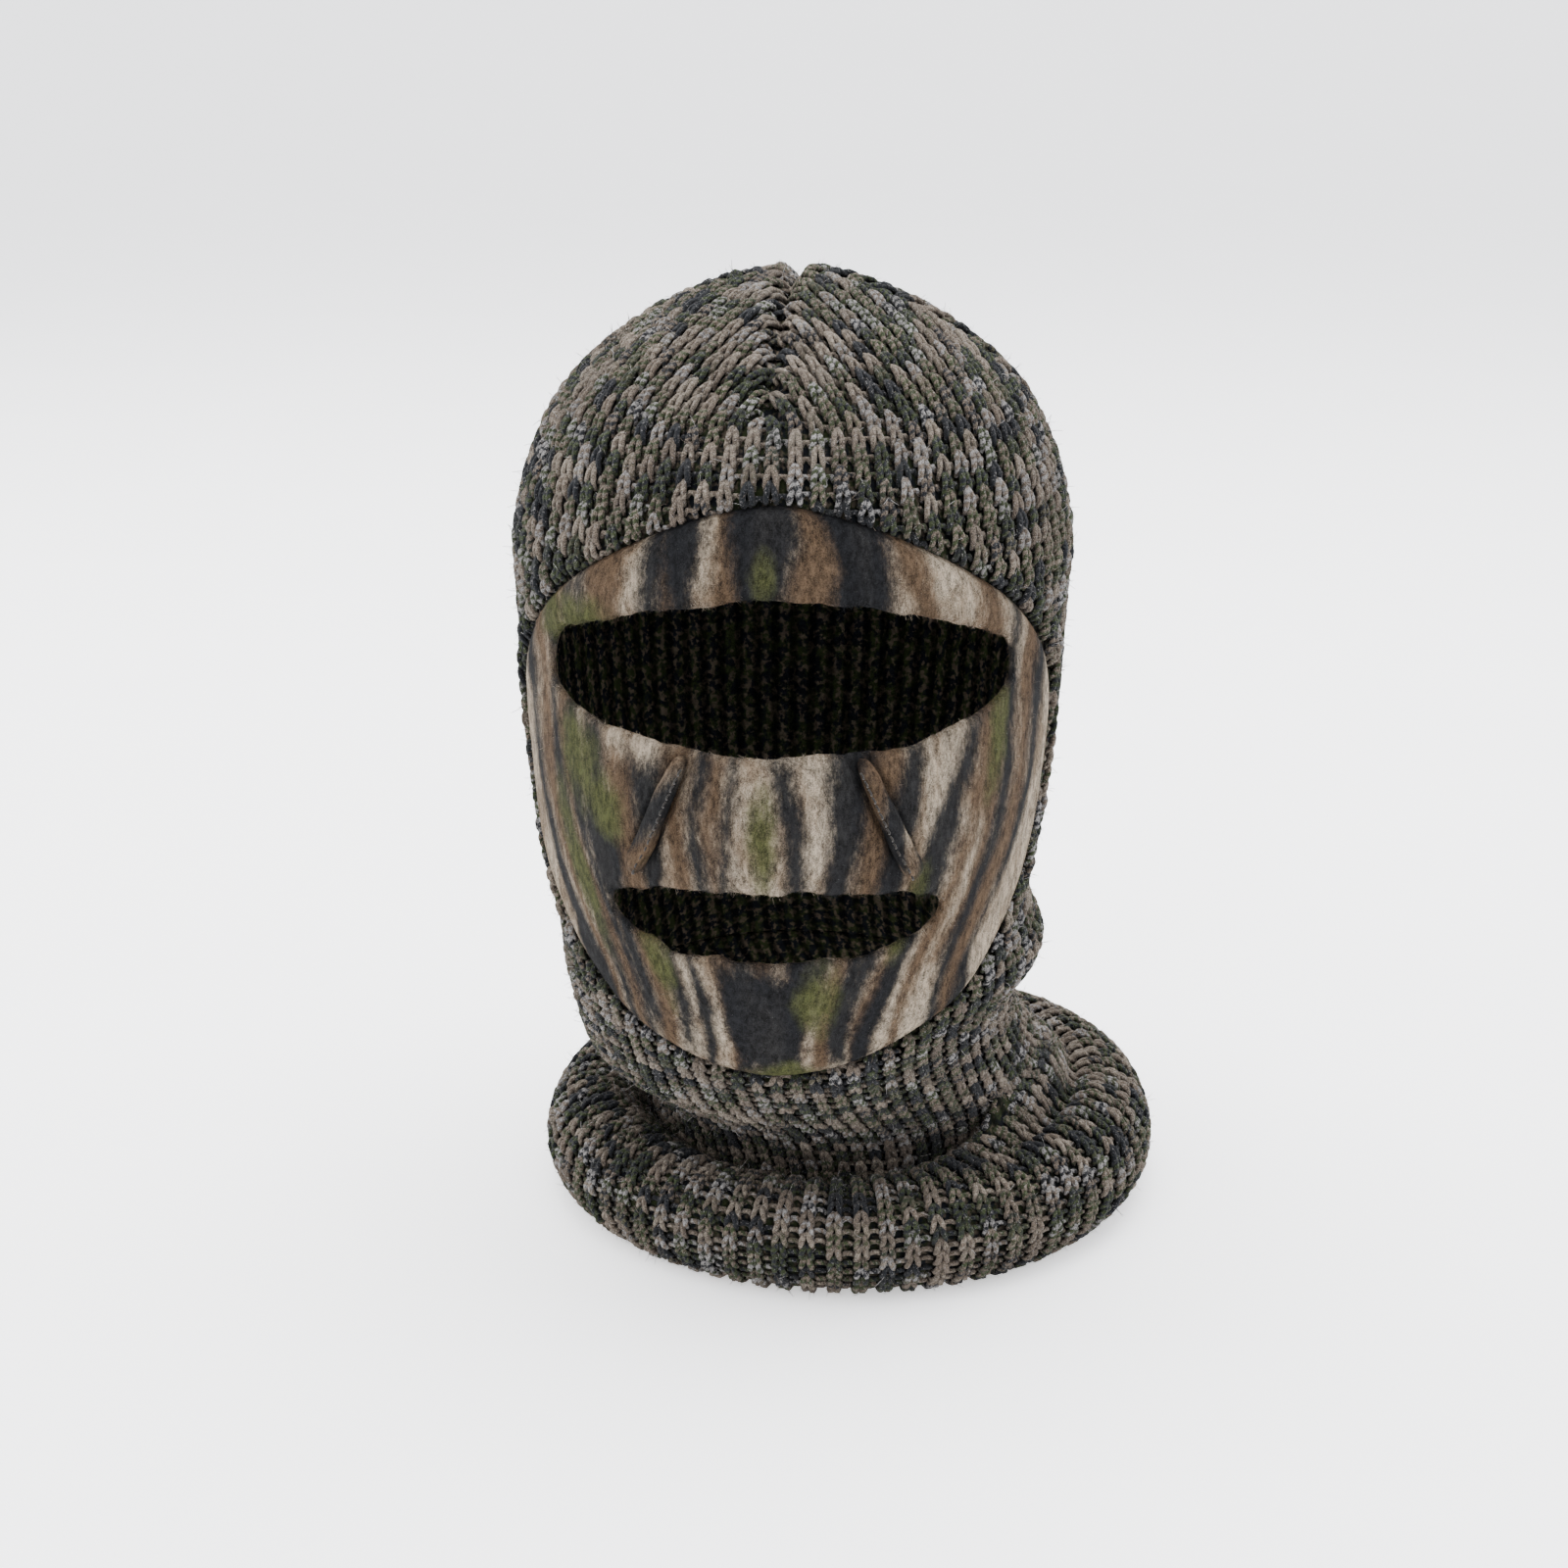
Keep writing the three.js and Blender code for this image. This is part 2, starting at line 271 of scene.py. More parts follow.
@dataclass
class HeadForm:
    """The surface that the hood, neck and face panel lie on, placed by the frame."""

    head_height: float = 222 * MM
    head_width: float = 167 * MM
    head_depth: float = 206 * MM
    neck_height: float = 74 * MM
    neck_width: float = 137 * MM
    neck_depth: float = 159 * MM
    hem_sway: float = 19 * MM
    hem_back: float = 30 * MM
    foot: float = 3 * MM
    nose_proud: float = 8 * MM
    dart_turn: float = -3.0
    dart_foot: float = 0.86
    dart_deep: float = 4.4 * MM
    dart_wide: float = 2.6 * MM
    dart_puff: float = 1.0 * MM

    def __post_init__(self) -> None:
        """Work out the levels and the place of the head's axis from the frame."""
        low, high = (Vector(c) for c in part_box("hem_roll"))
        self.axis_x = (low.x + high.x) / 2 - self.hem_sway
        self.axis_y = (low.y + high.y) / 2 - self.hem_back
        self.hem_width, self.hem_depth, self.hem_thickness = high - low
        tube = self.hem_thickness / 1.88 + 1 * MM
        foot_width, foot_depth = self.hem_width / 2 - 2 * tube, self.hem_depth / 2 - 2 * tube
        back, sway = self.hem_back, self.hem_sway
        neck = [
            (self.foot, sway, foot_width, back - foot_depth, back + foot_depth),
            (
                self.hem_thickness + 1 * MM, sway * 0.8, foot_width + 1 * MM,
                back - foot_depth - 2 * MM, back + foot_depth - 4 * MM,
            ),
            (self.neck_height * 0.74, 6 * MM, self.neck_width / 2, -58 * MM, self.neck_depth - 72 * MM),
            (self.neck_height, 3 * MM, self.neck_width / 2 + 0.5 * MM, -75 * MM, self.neck_depth - 77 * MM),
        ]
        head = [
            (0.072, 0.844, 0.408, 0.388), (0.126, 0.85, 0.437, 0.388), (0.252, 0.905, 0.475, 0.408),
            (0.387, 0.95, 0.492, 0.451), (0.486, 0.975, 0.483, 0.485), (0.568, 0.987, 0.47, 0.51),
            (0.667, 1, 0.456, 0.515), (0.775, 0.927, 0.417, 0.485), (0.86, 0.796, 0.345, 0.417),
            (0.928, 0.57, 0.245, 0.322), (0.968, 0.37, 0.155, 0.235), (0.992, 0.18, 0.06, 0.138),
            (1, 0, -0.037, 0.037),
        ]
        for share, width, front, rear in head:
            neck.append((
                self.on_head(share), 2.5 * MM, width * self.head_width / 2,
                -front * self.head_depth, rear * self.head_depth,
            ))
        self.levels = np.array(neck)
        self.swells = [
            Swell(0, self.on_head(0.38), 17, 26 * MM, self.nose_proud),
            Swell(96, self.on_head(0.095), 42, 11 * MM, 8 * MM),
            Swell(92, self.neck_height * 0.62, 46, 12 * MM, 7 * MM),
        ]
        fine = np.linspace(0, 1, 4001)
        self.fine_rise, self.fine_height = fine, blend_points(self.levels, fine)[:, 0]
        self.dart_rise = self.rise_at(self.on_head(self.dart_foot))

    def on_head(self, share: float) -> float:
        """The height of a share of the head, counted from the chin seam."""
        return self.neck_height + share * self.head_height

    def rise_at(self, height: Array) -> Array:
        """The rise at which the form reaches a height."""
        return np.interp(height, self.fine_height, self.fine_rise)

    def height_at(self, rise: Array) -> Array:
        """The height of a rise."""
        return np.interp(rise, self.fine_rise, self.fine_height)

    def plain(self, turn: Array, rise: Array) -> Array:
        """A point of the plain form, without swells or creases.

        Args:
            turn: degrees about the head.
            rise: from the neck's foot to the crown.

        Returns:
            The points, in metres.
        """
        height, sway, half, front, back = np.moveaxis(blend_points(self.levels, rise), -1, 0)
        angle = np.radians(turn)
        return stack(
            self.axis_x + sway + half * np.sin(angle),
            self.axis_y + (front + back) / 2 - (back - front) / 2 * np.cos(angle),
            height,
        )

    def outward(self, turn: Array, rise: Array) -> Array:
        """The plain form's outward normal.

        Args:
            turn: degrees about the head.
            rise: from the neck's foot to the crown.

        Returns:
            The directions, of length one.
        """
        safe = np.clip(rise, 0.004, 0.994)
        around = self.plain(turn + 0.5, safe) - self.plain(turn - 0.5, safe)
        up = self.plain(turn, safe + 0.004) - self.plain(turn, safe - 0.004)
        side = unit(np.cross(around, up))
        top = smooth(0.99, 1.0, rise)[..., None]
        return unit(side * (1 - top) + np.array([0, 0, 1.0]) * top)

    def arc_per_degree(self, turn: Array, rise: Array) -> Array:
        """How far one degree of turn goes on the surface.

        Args:
            turn: degrees about the head.
            rise: from the neck's foot to the crown.

        Returns:
            The distances, in metres.
        """
        _, _, half, front, back = np.moveaxis(blend_points(self.levels, rise), -1, 0)
        angle = np.radians(turn)
        return np.hypot(half * np.cos(angle), (back - front) / 2 * np.sin(angle)) * math.pi / 180

    def seam_distance(self, turn: Array, rise: Array) -> Array:
        """The distance round the crown to the nearest of the four dart seams."""
        off = (np.asarray(turn) - self.dart_turn + 45) % 90 - 45
        return np.abs(off) * self.arc_per_degree(turn, rise)

    def point(self, turn: Array, rise: Array, out: Array | float, crease: float = 1.0) -> Array:
        """A place on the dressed form.

        Args:
            turn: degrees about the head.
            rise: from the neck's foot to the crown.
            out: distance out from the knit's outer face, in metres.
            crease: how strongly the crown dart creases draw the cloth in.

        Returns:
            The points, in metres.
        """
        turn, rise = np.asarray(turn, float), np.asarray(rise, float)
        base = self.plain(turn, rise)
        lift = np.zeros(turn.shape) + out
        for swell in self.swells:
            side = ((turn - swell.turn + 540) % 360 - 180) / swell.turn_spread
            along = (base[..., 2] - swell.height) / swell.height_spread
            lift = lift + swell.reach * np.exp(-side**2 - along**2)
        near = self.seam_distance(turn, rise)
        foot = self.on_head(self.dart_foot)
        grown = smooth(foot - 8 * MM, foot + 14 * MM, base[..., 2]) * crease
        valley = self.dart_puff * hump(near, 7 * MM, 5 * MM) - self.dart_deep * hump(near, 0, self.dart_wide)
        lift = lift + grown * valley
        return base + self.outward(turn, rise) * lift[..., None]


# ------------------------------ materials


@dataclass(frozen=True)
class Palette:
    """The marled yarn's plies and the fleece's printed tones, as linear colours."""

    taupe: Colour = (0.076, 0.06, 0.0465)
    sand: Colour = (0.123, 0.103, 0.081)
    olive: Colour = (0.019, 0.025, 0.01)
    night: Colour = (0.006, 0.007, 0.009)
    ash: Colour = (0.27, 0.258, 0.25)
    bark: Colour = (0.058, 0.037, 0.022)
    tan: Colour = (0.225, 0.187, 0.14)
    dusk: Colour = (0.125, 0.094, 0.065)
    charcoal: Colour = (0.0066, 0.0077, 0.0094)
    moss: Colour = (0.04, 0.043, 0.016)
    floor: Colour = (0.93, 0.93, 0.935)
    thread: Colour = (0.01, 0.009, 0.008)


PALETTE = Palette()


class Shader:
    """A node material being put together."""

    def __init__(self, name: str, roughness: float, sheen: float = 0.0) -> None:
        """Start a material with one Principled shader.

        Args:
            name: the material's name.
            roughness: the shader's roughness.
            sheen: the shader's sheen weight.
        """
        self.material = bpy.data.materials.new(name)
        self.material.use_nodes = True
        self.tree = self.material.node_tree
        self.shader = self.tree.nodes["Principled BSDF"]
        self.shader.inputs["Roughness"].default_value = roughness
        self.shader.inputs["Specular IOR Level"].default_value = 0.06
        if sheen:
            self.shader.inputs["Sheen Weight"].default_value = sheen
            self.shader.inputs["Sheen Roughness"].default_value = 0.55
            self.shader.inputs["Sheen Tint"].default_value = (0.86, 0.84, 0.8, 1)

    def node(self, kind: str, **settings: object) -> bpy.types.Node:
        """Add a node.

        Args:
            kind: the node's type.
            settings: its properties.

        Returns:
            The node.
        """
        made = self.tree.nodes.new(kind)
        for key, value in settings.items():
            setattr(made, key, value)
        return made

    def link(self, source: object, target: object) -> None:
        """Join an output socket to an input socket."""
        self.tree.links.new(source, target)

    def feed(self, socket: object, value: object) -> None:
        """Put a value into an input socket.

        Args:
            socket: the input.
            value: a number, a colour or an output socket.
        """
        if isinstance(value, bpy.types.NodeSocket):
            self.link(value, socket)
        else:
            socket.default_value = value

    def attribute(self, name: str) -> bpy.types.Node:
        """Read a colour or vector that the mesh holds."""
        return self.node("ShaderNodeAttribute", attribute_name=name)

    def place(self) -> object:
        """Object coordinates, which don't depend on the camera."""
        return self.node("ShaderNodeTexCoord").outputs["Object"]

    def noise(self, source: object, scale: float, detail: float = 2.0, rough: float = 0.5) -> object:
        """Noise at some places.

        Args:
            source: the socket that gives the places.
            scale: how many cells of noise lie in a metre.
            detail: how many finer sizes are added.
            rough: how strong each finer size is.

        Returns:
            The noise's socket.
        """
        made = self.node("ShaderNodeTexNoise")
        self.link(source, made.inputs["Vector"])
        made.inputs["Scale"].default_value = scale
        made.inputs["Detail"].default_value = detail
        made.inputs["Roughness"].default_value = rough
        return made.outputs["Fac"]

    def maths(self, operation: str, first: object, second: object = 0.0) -> object:
        """One sum.

        Args:
            operation: the sum's kind.
            first: a number or socket.
            second: a number or socket.

        Returns:
            The sum's socket.
        """
        made = self.node("ShaderNodeMath", operation=operation)
        self.feed(made.inputs[0], first)
        self.feed(made.inputs[1], second)
        return made.outputs[0]

    def spread(self, value: object, low: float, high: float, to_low: float, to_high: float) -> object:
        """Map one range of numbers onto another, softly, and stay inside it.

        Args:
            value: the socket to map.
            low: the start of the first range.
            high: its end.
            to_low: the start of the second range.
            to_high: its end.

        Returns:
            The mapped socket.
        """
        made = self.node("ShaderNodeMapRange", interpolation_type="SMOOTHSTEP")
        self.feed(made.inputs["Value"], value)
        for key, number in zip(("From Min", "From Max", "To Min", "To Max"), (low, high, to_low, to_high)):
            made.inputs[key].default_value = number
        return made.outputs["Result"]

    def mix(self, share: object, first: object, second: object, how: str = "MIX") -> object:
        """Mix two colours.

        Args:
            share: how much of the second colour there is.
            first: a colour or socket.
            second: a colour or socket.
            how: the way they are mixed.

        Returns:
            The mixed colour's socket.
        """
        made = self.node("ShaderNodeMix", data_type="RGBA", blend_type=how)
        self.feed(made.inputs["Factor"], share)
        for socket, value in ((made.inputs[6], first), (made.inputs[7], second)):
            self.feed(socket, (*value, 1) if isinstance(value, tuple) else value)
        return made.outputs[2]

    def shaded(self, colour: object, amount: object) -> object:
        """Make a colour lighter or darker.

        Args:
            colour: the colour's socket.
            amount: the socket that the colour is multiplied by.

        Returns:
            The new colour's socket.
        """
        grey = self.node("ShaderNodeCombineColor")
        for socket in grey.inputs[:3]:
            self.link(amount, socket)
        return self.mix(1.0, colour, grey.outputs[0], "MULTIPLY")

    def bump(self, height: object, strength: float, distance: float) -> None:
        """Roughen the surface by a height.

        Args:
            height: the height's socket.
            strength: how strongly it shows, from 0 to 1.
            distance: how tall a height of 1 is, in metres.
        """
        made = self.node("ShaderNodeBump")
        made.inputs["Strength"].default_value = strength
        made.inputs["Distance"].default_value = distance
        self.link(height, made.inputs["Height"])
        self.link(made.outputs["Normal"], self.shader.inputs["Normal"])

    def colour(self, value: object) -> None:
        """Set the shader's base colour."""
        self.feed(self.shader.inputs["Base Color"], value)


@dataclass(frozen=True)
class YarnFinish:
    """Marled wool yarn: two plies twisted together, with loose fibres and pale flecks."""

    name: str = "marled_yarn"
    twist: float = 2.3
    fleck: float = 0.62

    def build(self) -> bpy.types.Material:
        """Make the material.

        Returns:
            The material.
        """
        made = Shader(self.name, roughness=0.92, sheen=0.06)
        strand = made.node("ShaderNodeSeparateXYZ")
        made.link(made.attribute("strand").outputs["Vector"], strand.inputs[0])
        place = made.place()
        wander = made.noise(place, 1100, 3, 0.7)
        turns = made.maths("ADD", made.maths("DIVIDE", strand.outputs[0], self.twist), strand.outputs[1])
        turns = made.maths("ADD", turns, made.maths("MULTIPLY", wander, 1.5))
        wave = made.maths("SINE", made.maths("MULTIPLY", turns, 2 * math.pi))
        ply = made.spread(wave, -0.5, 0.6, 0.0, 1.0)
        plies = [made.attribute(name).outputs["Color"] for name in ("main_ply", "other_ply")]
        mixed = made.mix(ply, *plies)
        fibres = made.noise(place, 3000, 4, 0.72)
        shaded = made.shaded(mixed, made.spread(fibres, 0.36, 0.64, 0.25, 1.9))
        pale = made.spread(made.noise(place, 1500, 4, 0.75), 0.57, 0.68, 0.0, self.fleck)
        made.colour(made.mix(pale, shaded, PALETTE.ash))
        height = made.maths("ADD", made.maths("MULTIPLY", wave, 0.35), made.maths("MULTIPLY", fibres, 1.2))
        made.bump(height, 0.9, 0.5 * MM)
        return made.material


@dataclass(frozen=True)
class GroundFinish:
    """The knit's recessed ground and its inside: yarn in ribs, with painted shade in the rib hollows and
    painted light inside.
    """

    name: str = "knit_ground"

    def build(self) -> bpy.types.Material:
        """Make the material.

        Returns:
            The material.
        """
        made = Shader(self.name, roughness=0.95)
        place = made.place()
        rib = made.node("ShaderNodeSeparateXYZ")
        made.link(made.attribute("rib").outputs["Vector"], rib.inputs[0])
        column = made.maths("SINE", made.maths("MULTIPLY", rib.outputs[0], 2 * math.pi))
        course = made.maths("SINE", made.maths("MULTIPLY", rib.outputs[1], 2 * math.pi))
        tone = made.noise(place, 260, 3, 0.6)
        marl = made.mix(made.spread(tone, 0.42, 0.58, 0, 1), PALETTE.night, PALETTE.olive)
        marl = made.mix(made.spread(made.noise(place, 520, 2), 0.5, 0.62, 0, 0.75), marl, PALETTE.taupe)
        # painted shade: the colour is darkened to 0.3 in the hollows between the ribs
        deep = made.spread(column, -0.8, 0.6, 0.3, 1.0)
        # painted shade and light: the outer side is darkened to 0.8 and the inside, where little light
        # reaches, lightened to 3.2
        deep = made.maths("MULTIPLY", deep, made.spread(rib.outputs[2], 0.0, 1.0, 0.8, 3.2))
        made.colour(made.shaded(marl, deep))
        ribs = made.maths("ADD", made.maths("MULTIPLY", column, 0.8), made.maths("MULTIPLY", course, 0.3))
        made.bump(made.maths("ADD", ribs, made.noise(place, 2600, 2)), 0.8, 1.0 * MM)
        return made.material


@dataclass(frozen=True)
class FleeceFinish:
    """Napped fleece printed with bark: the mesh holds how near each place lies to a streak of each tone."""

    name: str = "bark_fleece"
    ragged: float = 1.5
    cover: float = 0.965
    stretch: float = 0.42

    def build(self) -> bpy.types.Material:
        """Make the material.

        Returns:
            The material.
        """
        made = Shader(self.name, roughness=0.96)
        place = made.place()
        along = made.node("ShaderNodeMapping")
        made.link(place, along.inputs["Vector"])
        along.inputs["Scale"].default_value = (1.0, 1.0, self.stretch)
        fields = made.node("ShaderNodeSeparateColor")
        made.link(made.attribute("print").outputs["Color"], fields.inputs[0])
        torn = made.noise(along.outputs[0], 170, 6, 0.74)
        strands = made.noise(along.outputs[0], 950, 5, 0.78)
        cloud = made.noise(along.outputs[0], 110, 5, 0.66)
        both = made.maths("ADD", made.maths("MULTIPLY", torn, 0.5), made.maths("MULTIPLY", strands, 0.5))
        sway = made.maths("MULTIPLY", made.maths("SUBTRACT", both, 0.5), self.ragged)
        printed = made.mix(made.spread(cloud, 0.38, 0.6, 0, 1), PALETTE.dusk, PALETTE.tan)
        for tone, colour, low, high in (
            (Tone.BARK, PALETTE.bark, 0.0, 0.8),
            (Tone.CHARCOAL, PALETTE.charcoal, 0.08, 0.82),
            (Tone.MOSS, PALETTE.moss, 0.12, 1.1),
        ):
            near = made.maths("ADD", fields.outputs[tone.value], sway)
            printed = made.mix(made.spread(near, low, high, 0.0, self.cover), printed, colour)
        nap = made.noise(along.outputs[0], 620, 5, 0.78)
        fibres = made.noise(place, 3000, 4, 0.78)
        pile = made.maths("ADD", made.maths("MULTIPLY", nap, 0.5), made.maths("MULTIPLY", fibres, 0.5))
        made.colour(made.shaded(printed, made.spread(pile, 0.37, 0.63, 0.22, 1.95)))
        made.bump(made.maths("ADD", nap, made.maths("MULTIPLY", fibres, 0.8)), 1.0, 0.9 * MM)
        return made.material


@dataclass(frozen=True)
class ThreadFinish:
    """Sewing thread: a fine twist with a painted highlight along it, and a slight shine."""

    name: str = "sewing_thread"
    tone: Colour = PALETTE.thread

    def build(self) -> bpy.types.Material:
        """Make the material.

        Returns:
            The material.
        """
        made = Shader(self.name, roughness=0.6, sheen=0.15)
        place = made.place()
        twist = made.noise(place, 1800, 2)
        # painted highlight: a lighter copy of the thread's colour, mixed in along the twist noise
        painted_twist_highlight = tuple(min(1.0, c * 2.2) for c in self.tone)
        made.colour(made.mix(made.spread(twist, 0.35, 0.65, 0, 1), self.tone, painted_twist_highlight))
        made.bump(twist, 0.6, 0.2 * MM)
        return made.material


@dataclass(frozen=True)
class FloorFinish:
    """A plain pale table top, faintly lit from within so that it stays nearly white."""

    name: str = "pale_floor"
    glow: float = 0.7

    def build(self) -> bpy.types.Material:
        """Make the material.

        Returns:
            The material.
        """
        made = Shader(self.name, roughness=0.85)
        tint = made.spread(made.noise(made.place(), 9, 2), 0.3, 0.7, 0.0, 1.0)
        dimmer = tuple(c * 0.985 for c in PALETTE.floor)
        made.colour(made.mix(tint, PALETTE.floor, dimmer))
        made.shader.inputs["Emission Color"].default_value = (1, 0.985, 0.975, 1)
        made.shader.inputs["Emission Strength"].default_value = self.glow
        return made.material


# ------------------------------ mesh work


class MeshParts:
    """Vertices, faces and mesh values gathered for one piece."""

    NOT_COLOURS = ("rib",)

    def __init__(self) -> None:
        """Start empty."""
        self.points: list[Array] = []
        self.corners: list[Array] = []
        self.sizes: list[Array] = []
        self.point_values: dict[str, list[Array]] = {}
        self.corner_values: dict[str, list[Array]] = {}
        self.count = 0

    def add(self, points: Array, faces: list[Array], point_values: dict[str, Array],
            corner_values: dict[str, list[Array]]) -> None:
        """Add a batch; vertices that no face uses are left out.

        Args:
            points: the batch's vertices, shape (n, 3).
            faces: arrays of faces, each with its own number of corners.
            point_values: values for each vertex, by name.
            corner_values: values for each face corner, one array for each array of faces, by name.
        """
        used = np.unique(np.concatenate([each.ravel() for each in faces]))
        renumber = np.zeros(len(points), int)
        renumber[used] = np.arange(len(used))
        self.points.append(points[used])
        for each in faces:
            self.corners.append(renumber[each.reshape(-1)] + self.count)
            self.sizes.append(np.full(len(each), each.shape[1]))
        for name, values in point_values.items():
            self.point_values.setdefault(name, []).append(values[used])
        for name, arrays in corner_values.items():
            self.corner_values.setdefault(name, []).extend(a.reshape(-1, a.shape[-1]) for a in arrays)
        self.count += len(used)

    def piece(self, name: str, material: bpy.types.Material) -> bpy.types.Object:
        """Make the piece.

        Args:
            name: the piece's name.
            material: its finish.

        Returns:
            The new object, linked to the scene.
        """
        points = np.concatenate(self.points)
        corners = np.concatenate(self.corners).astype(np.int32)
        sizes = np.concatenate(self.sizes)
        mesh = bpy.data.meshes.new(name)
        mesh.vertices.add(len(points))
        mesh.vertices.foreach_set("co", points.astype(np.float32).ravel())
        mesh.loops.add(len(corners))
        mesh.loops.foreach_set("vertex_index", corners)
        mesh.polygons.add(len(sizes))
        starts = np.concatenate([[0], np.cumsum(sizes)[:-1]]).astype(np.int32)
        mesh.polygons.foreach_set("loop_start", starts)
        mesh.update(calc_edges=True)
        mesh.polygons.foreach_set("use_smooth", np.ones(len(sizes), bool))
        for key, batches in self.point_values.items():
            values = np.concatenate(batches)
            if key in self.NOT_COLOURS:
                layer = mesh.attributes.new(key, "FLOAT_VECTOR", "POINT")
                layer.data.foreach_set("vector", values.astype(np.float32).ravel())
            else:
                opaque = np.c_[values, np.ones(len(values))]
                layer = mesh.color_attributes.new(key, "FLOAT_COLOR", "POINT")
                layer.data.foreach_set("color", opaque.astype(np.float32).ravel())
        for key, batches in self.corner_values.items():
            layer = mesh.uv_layers.new(name=key)
            layer.uv.foreach_set("vector", np.concatenate(batches).astype(np.float32).ravel())
        mesh.validate(clean_customdata=False)
        mesh.materials.append(material)
        made = bpy.data.objects.new(name, mesh)
        bpy.context.scene.collection.objects.link(made)
        return made


def sheet_map(places: Array, faces: Array, low: tuple[float, float], size: tuple[float, float]) -> Array:
    """Lay a sheet's faces out in a part of its baking map.

    Args:
        places: each vertex's place on the flat sheet, from 0 to 1 both ways.
        faces: the faces.
        low: the part's lower corner.
        size: the part's size.

    Returns:
        A place in the map for each corner of each face.
    """
    corner = places[faces]
    across = corner[..., 0]
    wraps = (across.max(axis=1) - across.min(axis=1) > 0.5)[:, None] & (across < 0.5)
    across = np.where(wraps, across + 1, across) / 1.02
    return stack(low[0] + across * size[0], low[1] + corner[..., 1] * size[1])


def edge_map(count: int, low: float, high: float) -> Array:
    """Lay a run of edge quads out as a thin strip across the baking map.

    Args:
        count: how many quads.
        low: the strip's lower side.
        high: its upper side.

    Returns:
        A place in the map for each corner of each quad.
    """
    start = np.arange(count) / count
    after = start + 0.9 / count
    return np.stack([stack(after, low), stack(start, low), stack(start, high), stack(after, high)], axis=1)


def ring_map(count: int, middle: tuple[float, float], radius: float) -> Array:
    """Lay the corners of one many-sided face out as a ring in the baking map."""
    ring = np.linspace(0, 2 * np.pi, count, endpoint=False)
    return stack(middle[0] + radius * np.cos(ring), middle[1] + radius * np.sin(ring))


def open_edges(faces: Array) -> Array:
    """The edges that only one face uses.

    Args:
        faces: the faces, all with the same number of corners.

    Returns:
        The two vertex numbers of each edge, in the order that its face takes them.
    """
    corners = faces.shape[1]
    total = faces.max() + 1
    directed = np.concatenate([faces[:, [i, (i + 1) % corners]] for i in range(corners)])
    key = np.minimum(directed[:, 0], directed[:, 1]) * total + np.maximum(directed[:, 0], directed[:, 1])
    _, where, uses = np.unique(key, return_index=True, return_counts=True)
    return directed[where[uses == 1]]


def wall_faces(border: Array, near: int, far: int) -> Array:
    """The quads between two copies of an edge line.

    Args:
        border: the line's edges, as vertex numbers.
        near: what is added to reach the first copy's numbers.
        far: what is added to reach the second copy's numbers.

    Returns:
        The quads, shape (edges, 4).
    """
    first, last = border.T
    return np.stack([last + near, first + near, first + far, last + far], axis=-1)


def cell_corners(grid: Array) -> Array:
    """The values at the four corners of each cell of a grid that closes on itself sideways."""
    beside = np.roll(grid, -1, 1)
    return np.stack([grid[:-1], beside[:-1], beside[1:], grid[1:]], axis=-1)


def ring_faces(rows: int, sides: int) -> Array:
    """The quads of one tube.

    Args:
        rows: how many rings of vertices the tube has.
        sides: how many sides each ring has.

    Returns:
        Rows of (row, side) pairs for the four corners, shape (faces, 4, 2).
    """
    row, side = np.meshgrid(np.arange(rows - 1), np.arange(sides), indexing="ij")
    row, side = row.ravel(), side.ravel()
    return np.stack([
        np.stack([row, side], -1), np.stack([row, side + 1], -1),
        np.stack([row + 1, side + 1], -1), np.stack([row + 1, side], -1),
    ], axis=1)


